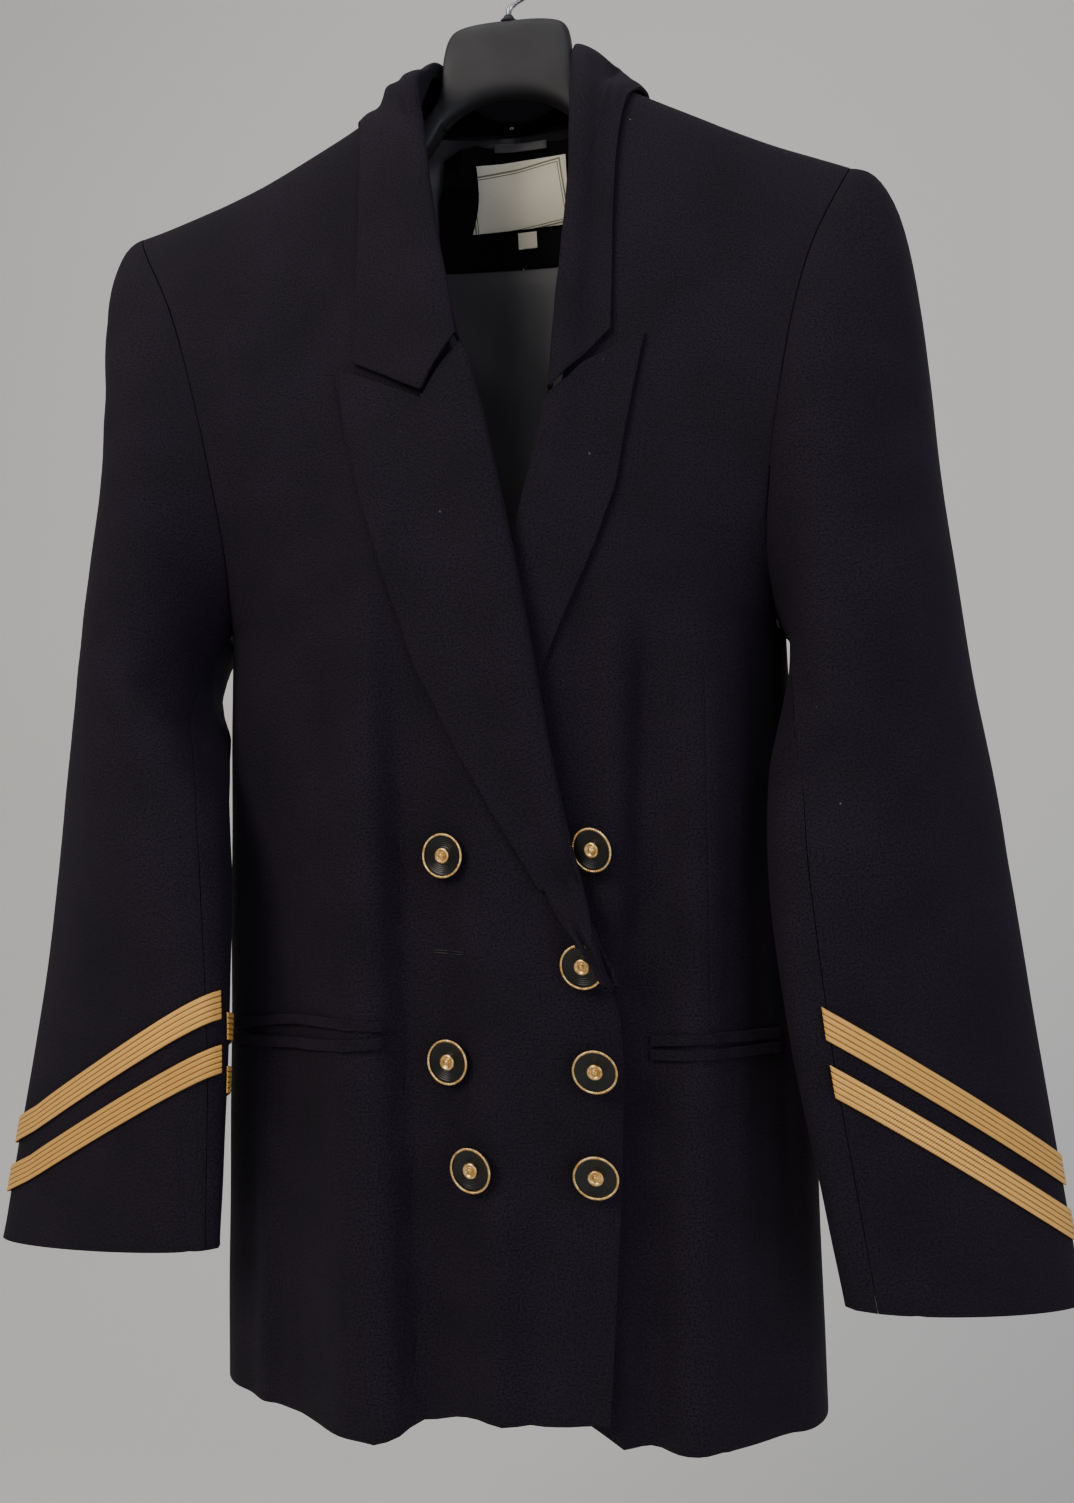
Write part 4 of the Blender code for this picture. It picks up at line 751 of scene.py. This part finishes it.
def rimShape():
    r = buttonLook["radius"] - 0.0006
    wire = buttonLook["wire"]
    work = spun([(r + wire * math.cos(a), 0.0001 + wire * math.sin(a)) for a in np.linspace(0, math.tau, 9)],
                buttonLook["beads"] * 4)
    for vert in work.verts:
        turn = math.atan2(vert.co.y, vert.co.x)
        around = math.atan2(vert.co.z - 0.0001, math.hypot(vert.co.x, vert.co.y) - r)
        bead = 0.80 + 0.20 * math.cos(turn * buttonLook["beads"] + around)
        out = Vector((math.cos(turn), math.sin(turn), 0))
        ring = out * r + Vector((0, 0, 0.0001))
        vert.co = ring + (vert.co - ring) * bead
    return work


def bossShape():
    profile = [(0.0, 0.0019), (0.0007, 0.0018), (0.0013, 0.0014), (0.0016, 0.0009), (0.0017, 0.0004),
               (0.0021, 0.0002), (0.0024, 0.0005), (0.0028, 0.0009), (0.0034, 0.0011), (0.0040, 0.0008),
               (0.0042, 0.0002), (0.0041, -0.0006), (0.0040, -0.0012), (0.0, -0.0012)]
    return spun(profile, buttonLook["bossSteps"])


def turnedPiece(name, shape, matrix, material, node):
    shape.transform(matrix)
    mesh = bpy.data.meshes.new(name)
    shape.to_mesh(mesh)
    shape.free()
    mesh.shade_smooth()
    mesh.materials.append(materials[material])
    piece = bpy.data.objects.new(name, mesh)
    bpy.context.scene.collection.objects.link(piece)
    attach(piece, "root")
    if node:
        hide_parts(node)
    return piece


for place in ("upper_right", "upper_left", "break_left", "middle_right", "middle_left", "lower_right",
              "lower_left"):
    seat = seatOf("rim_" + place)
    turnedPiece("disc_" + place, discShape(), seat, "button", "button_" + place)
    turnedPiece("milled_rim_" + place, rimShape(), seat, "gold", "rim_" + place)
    turnedPiece("gilt_boss_" + place, bossShape(), seat, "gold", "boss_" + place)
print("buttons")


# ---- hand stitching: the buttonhole's gimp and the thread that holds the loop

stitchLook = {  # middle, half length, half width and thickness in mm, turns, material, slot, cloth under it
    "buttonhole": ((-13.8, -611.0), 9.6, 0.75, 0.5, 46, "darkThread", "wool", "front_right"),
    "loop_tack": ((-4.5, -101.5), 1.1, 0.5, 0.35, 6, "thread", "satin", "hanger_loop"),
}
for name, (place, long, wide, thick, turns, material, slot, under) in stitchLook.items():
    cloth = bmesh.new()
    cloth.from_mesh(pieces[under].data)
    ground = BVHTree.FromBMesh(cloth)
    cloth.free()
    height = ground.find_nearest(Vector((place[0] / 1000, -0.05, place[1] / 1000)))[0].y
    cord = [(1 + 0.25 * math.cos(a), 0.25 * math.sin(a)) for a in np.linspace(0, math.tau, 7)]
    work = spun(cord, turns * 4)
    for vert in work.verts:
        turn = math.atan2(vert.co.y, vert.co.x)
        out = (math.hypot(vert.co.x, vert.co.y) - 1) * 4
        bead = 0.8 + 0.2 * math.cos(turn * turns)
        square = abs(math.cos(turn)) ** 0.5 * math.copysign(1, math.cos(turn))
        x = (place[0] + square * long + out * thick * bead * math.cos(turn)) / 1000
        z = (place[1] + math.sin(turn) * wide + out * thick * bead * math.sin(turn)) / 1000
        hit = ground.ray_cast(Vector((x, -0.4, z)), Vector((0, 1, 0)))[0]
        height = hit.y if hit else height
        vert.co = Vector((x, height - vert.co.z * 4 * thick * bead / 1000, z))
    bmesh.ops.recalc_face_normals(work, faces=work.faces)
    turnedPiece(name, work, Matrix.Identity(4), material, None)
print("stitching")


# ---- hanger and hook

def smoothSolid(node, name, material, levels):  # a closed solid, smoothed through its own points
    work = bmesh.new()
    work.from_mesh(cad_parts[node].data)
    bmesh.ops.remove_doubles(work, verts=work.verts, dist=0.00002)
    turn = math.radians(60)
    bmesh.ops.join_triangles(work, faces=work.faces, angle_face_threshold=turn, angle_shape_threshold=turn)
    mesh = bpy.data.meshes.new(name)
    work.to_mesh(mesh)
    work.free()
    piece = bpy.data.objects.new(name, mesh)
    bpy.context.scene.collection.objects.link(piece)
    fitSmooth(piece, levels)
    piece.data.shade_smooth()
    piece.data.materials.clear()
    piece.data.materials.append(materials[material])
    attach(piece, "root")
    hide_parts(node)
    return piece


smoothSolid("hanger", "hanger_moulding", "hanger", 2)
smoothSolid("hook", "hook_wire", "steel", 1)
hookSeat = -0.0530  # height of the hanger's top
hookBoss = spun([(0.0, 0.0036), (0.0022, 0.0036), (0.0030, 0.0030), (0.0038, 0.0012), (0.0052, 0.0),
                 (0.0052, -0.0015), (0.0, -0.0015)], 32)
turnedPiece("hook_boss", hookBoss, Matrix.Translation((0, 0, hookSeat)), "hanger", None)
print("hanger")


# ---- room, light and camera

stageLook = {
    "floorZ": -1.30,
    "wallY": 1.6,
    "colour": "#dedcd8",
    "shade": "#dad8d4",
    "sweep": 0.9,  # radius of the bend
    "nearY": -3.0,
    "halfWidth": 4.0,
}
work = bmesh.new()
bmesh.ops.create_grid(work, x_segments=1, y_segments=40, size=1.0)
for vert in work.verts:
    t = (vert.co.y + 1) / 2
    sweep = stageLook["sweep"]
    if t < 0.4:
        y = stageLook["nearY"] + t / 0.4 * (stageLook["wallY"] - sweep - stageLook["nearY"])
        z = stageLook["floorZ"]
    elif t < 0.7:
        a = (t - 0.4) / 0.3 * math.pi / 2
        y = stageLook["wallY"] - sweep + sweep * math.sin(a)
        z = stageLook["floorZ"] + sweep * (1 - math.cos(a))
    else:
        y = stageLook["wallY"]
        z = stageLook["floorZ"] + sweep + (t - 0.7) / 0.3 * 3.0
    vert.co = Vector((vert.co.x * stageLook["halfWidth"], y, z))
bmesh.ops.recalc_face_normals(work, faces=work.faces)
mesh = bpy.data.meshes.new("paper_sweep")
work.to_mesh(mesh)
work.free()
mesh.shade_smooth()
paper, paperTree, paperShader = startMaterial("matt paper sweep", Roughness=0.95)
dust = addNode(paperTree, "ShaderNodeTexNoise", {"Scale": 3.0, "Detail": 2.0}).outputs["Fac"]
tone = ramp(paperTree, dust, ((0.3, hexColour(stageLook["shade"])), (0.7, hexColour(stageLook["colour"]))))
paperTree.links.new(tone, paperShader.inputs["Base Color"])
mesh.materials.append(paper)
sweepSheet = bpy.data.objects.new("paper_sweep", mesh)
bpy.context.scene.collection.objects.link(sweepSheet)

lights = {  # name: place, size in metres, power and colour
    "key": ((-1.1, -1.7, 0.7), 1.1, 36, "#fff6ec"),
    "fill": ((1.5, -1.5, -0.1), 1.6, 20, "#e6edff"),
    "top": ((-0.2, -0.5, 1.5), 1.0, 10, "#ffffff"),
}
aim = Vector((0, 0, -0.45))
for name, (place, size, power, colour) in lights.items():
    data = bpy.data.lights.new(name, "AREA")
    data.energy, data.size, data.color = power, size, hexColour(colour)[:3]
    lamp = bpy.data.objects.new(name, data)
    lamp.location = place
    lamp.rotation_euler = (aim - Vector(place)).to_track_quat("-Z", "Y").to_euler()
    bpy.context.scene.collection.objects.link(lamp)
world = bpy.data.worlds.new("soft room")
world.use_nodes = True
world.node_tree.nodes["Background"].inputs["Color"].default_value = hexColour("#e9edf2")
world.node_tree.nodes["Background"].inputs["Strength"].default_value = 0.42
bpy.context.scene.world = world

cameraLook = {"lens": 30.0, "place": (0.1474, -0.7356, -0.533), "yaw": 10.0, "pitch": 2.4}
yaw, pitch = math.radians(cameraLook["yaw"]), math.radians(cameraLook["pitch"])
sight = Vector((-math.sin(yaw) * math.cos(pitch), math.cos(yaw) * math.cos(pitch), math.sin(pitch)))
cameraData = bpy.data.cameras.new("photo view")
cameraData.lens = cameraLook["lens"]
cameraData.sensor_width = 36.0
cameraData.sensor_fit = "AUTO"
camera = bpy.data.objects.new("photo view", cameraData)
turn = sight.to_track_quat("-Z", "Y").to_matrix().to_4x4()
camera.matrix_world = Matrix.Translation(cameraLook["place"]) @ turn
bpy.context.scene.collection.objects.link(camera)
bpy.context.scene.camera = camera

for node, cut in sorted(flatSizes.items()):
    print("cut", node, cut)
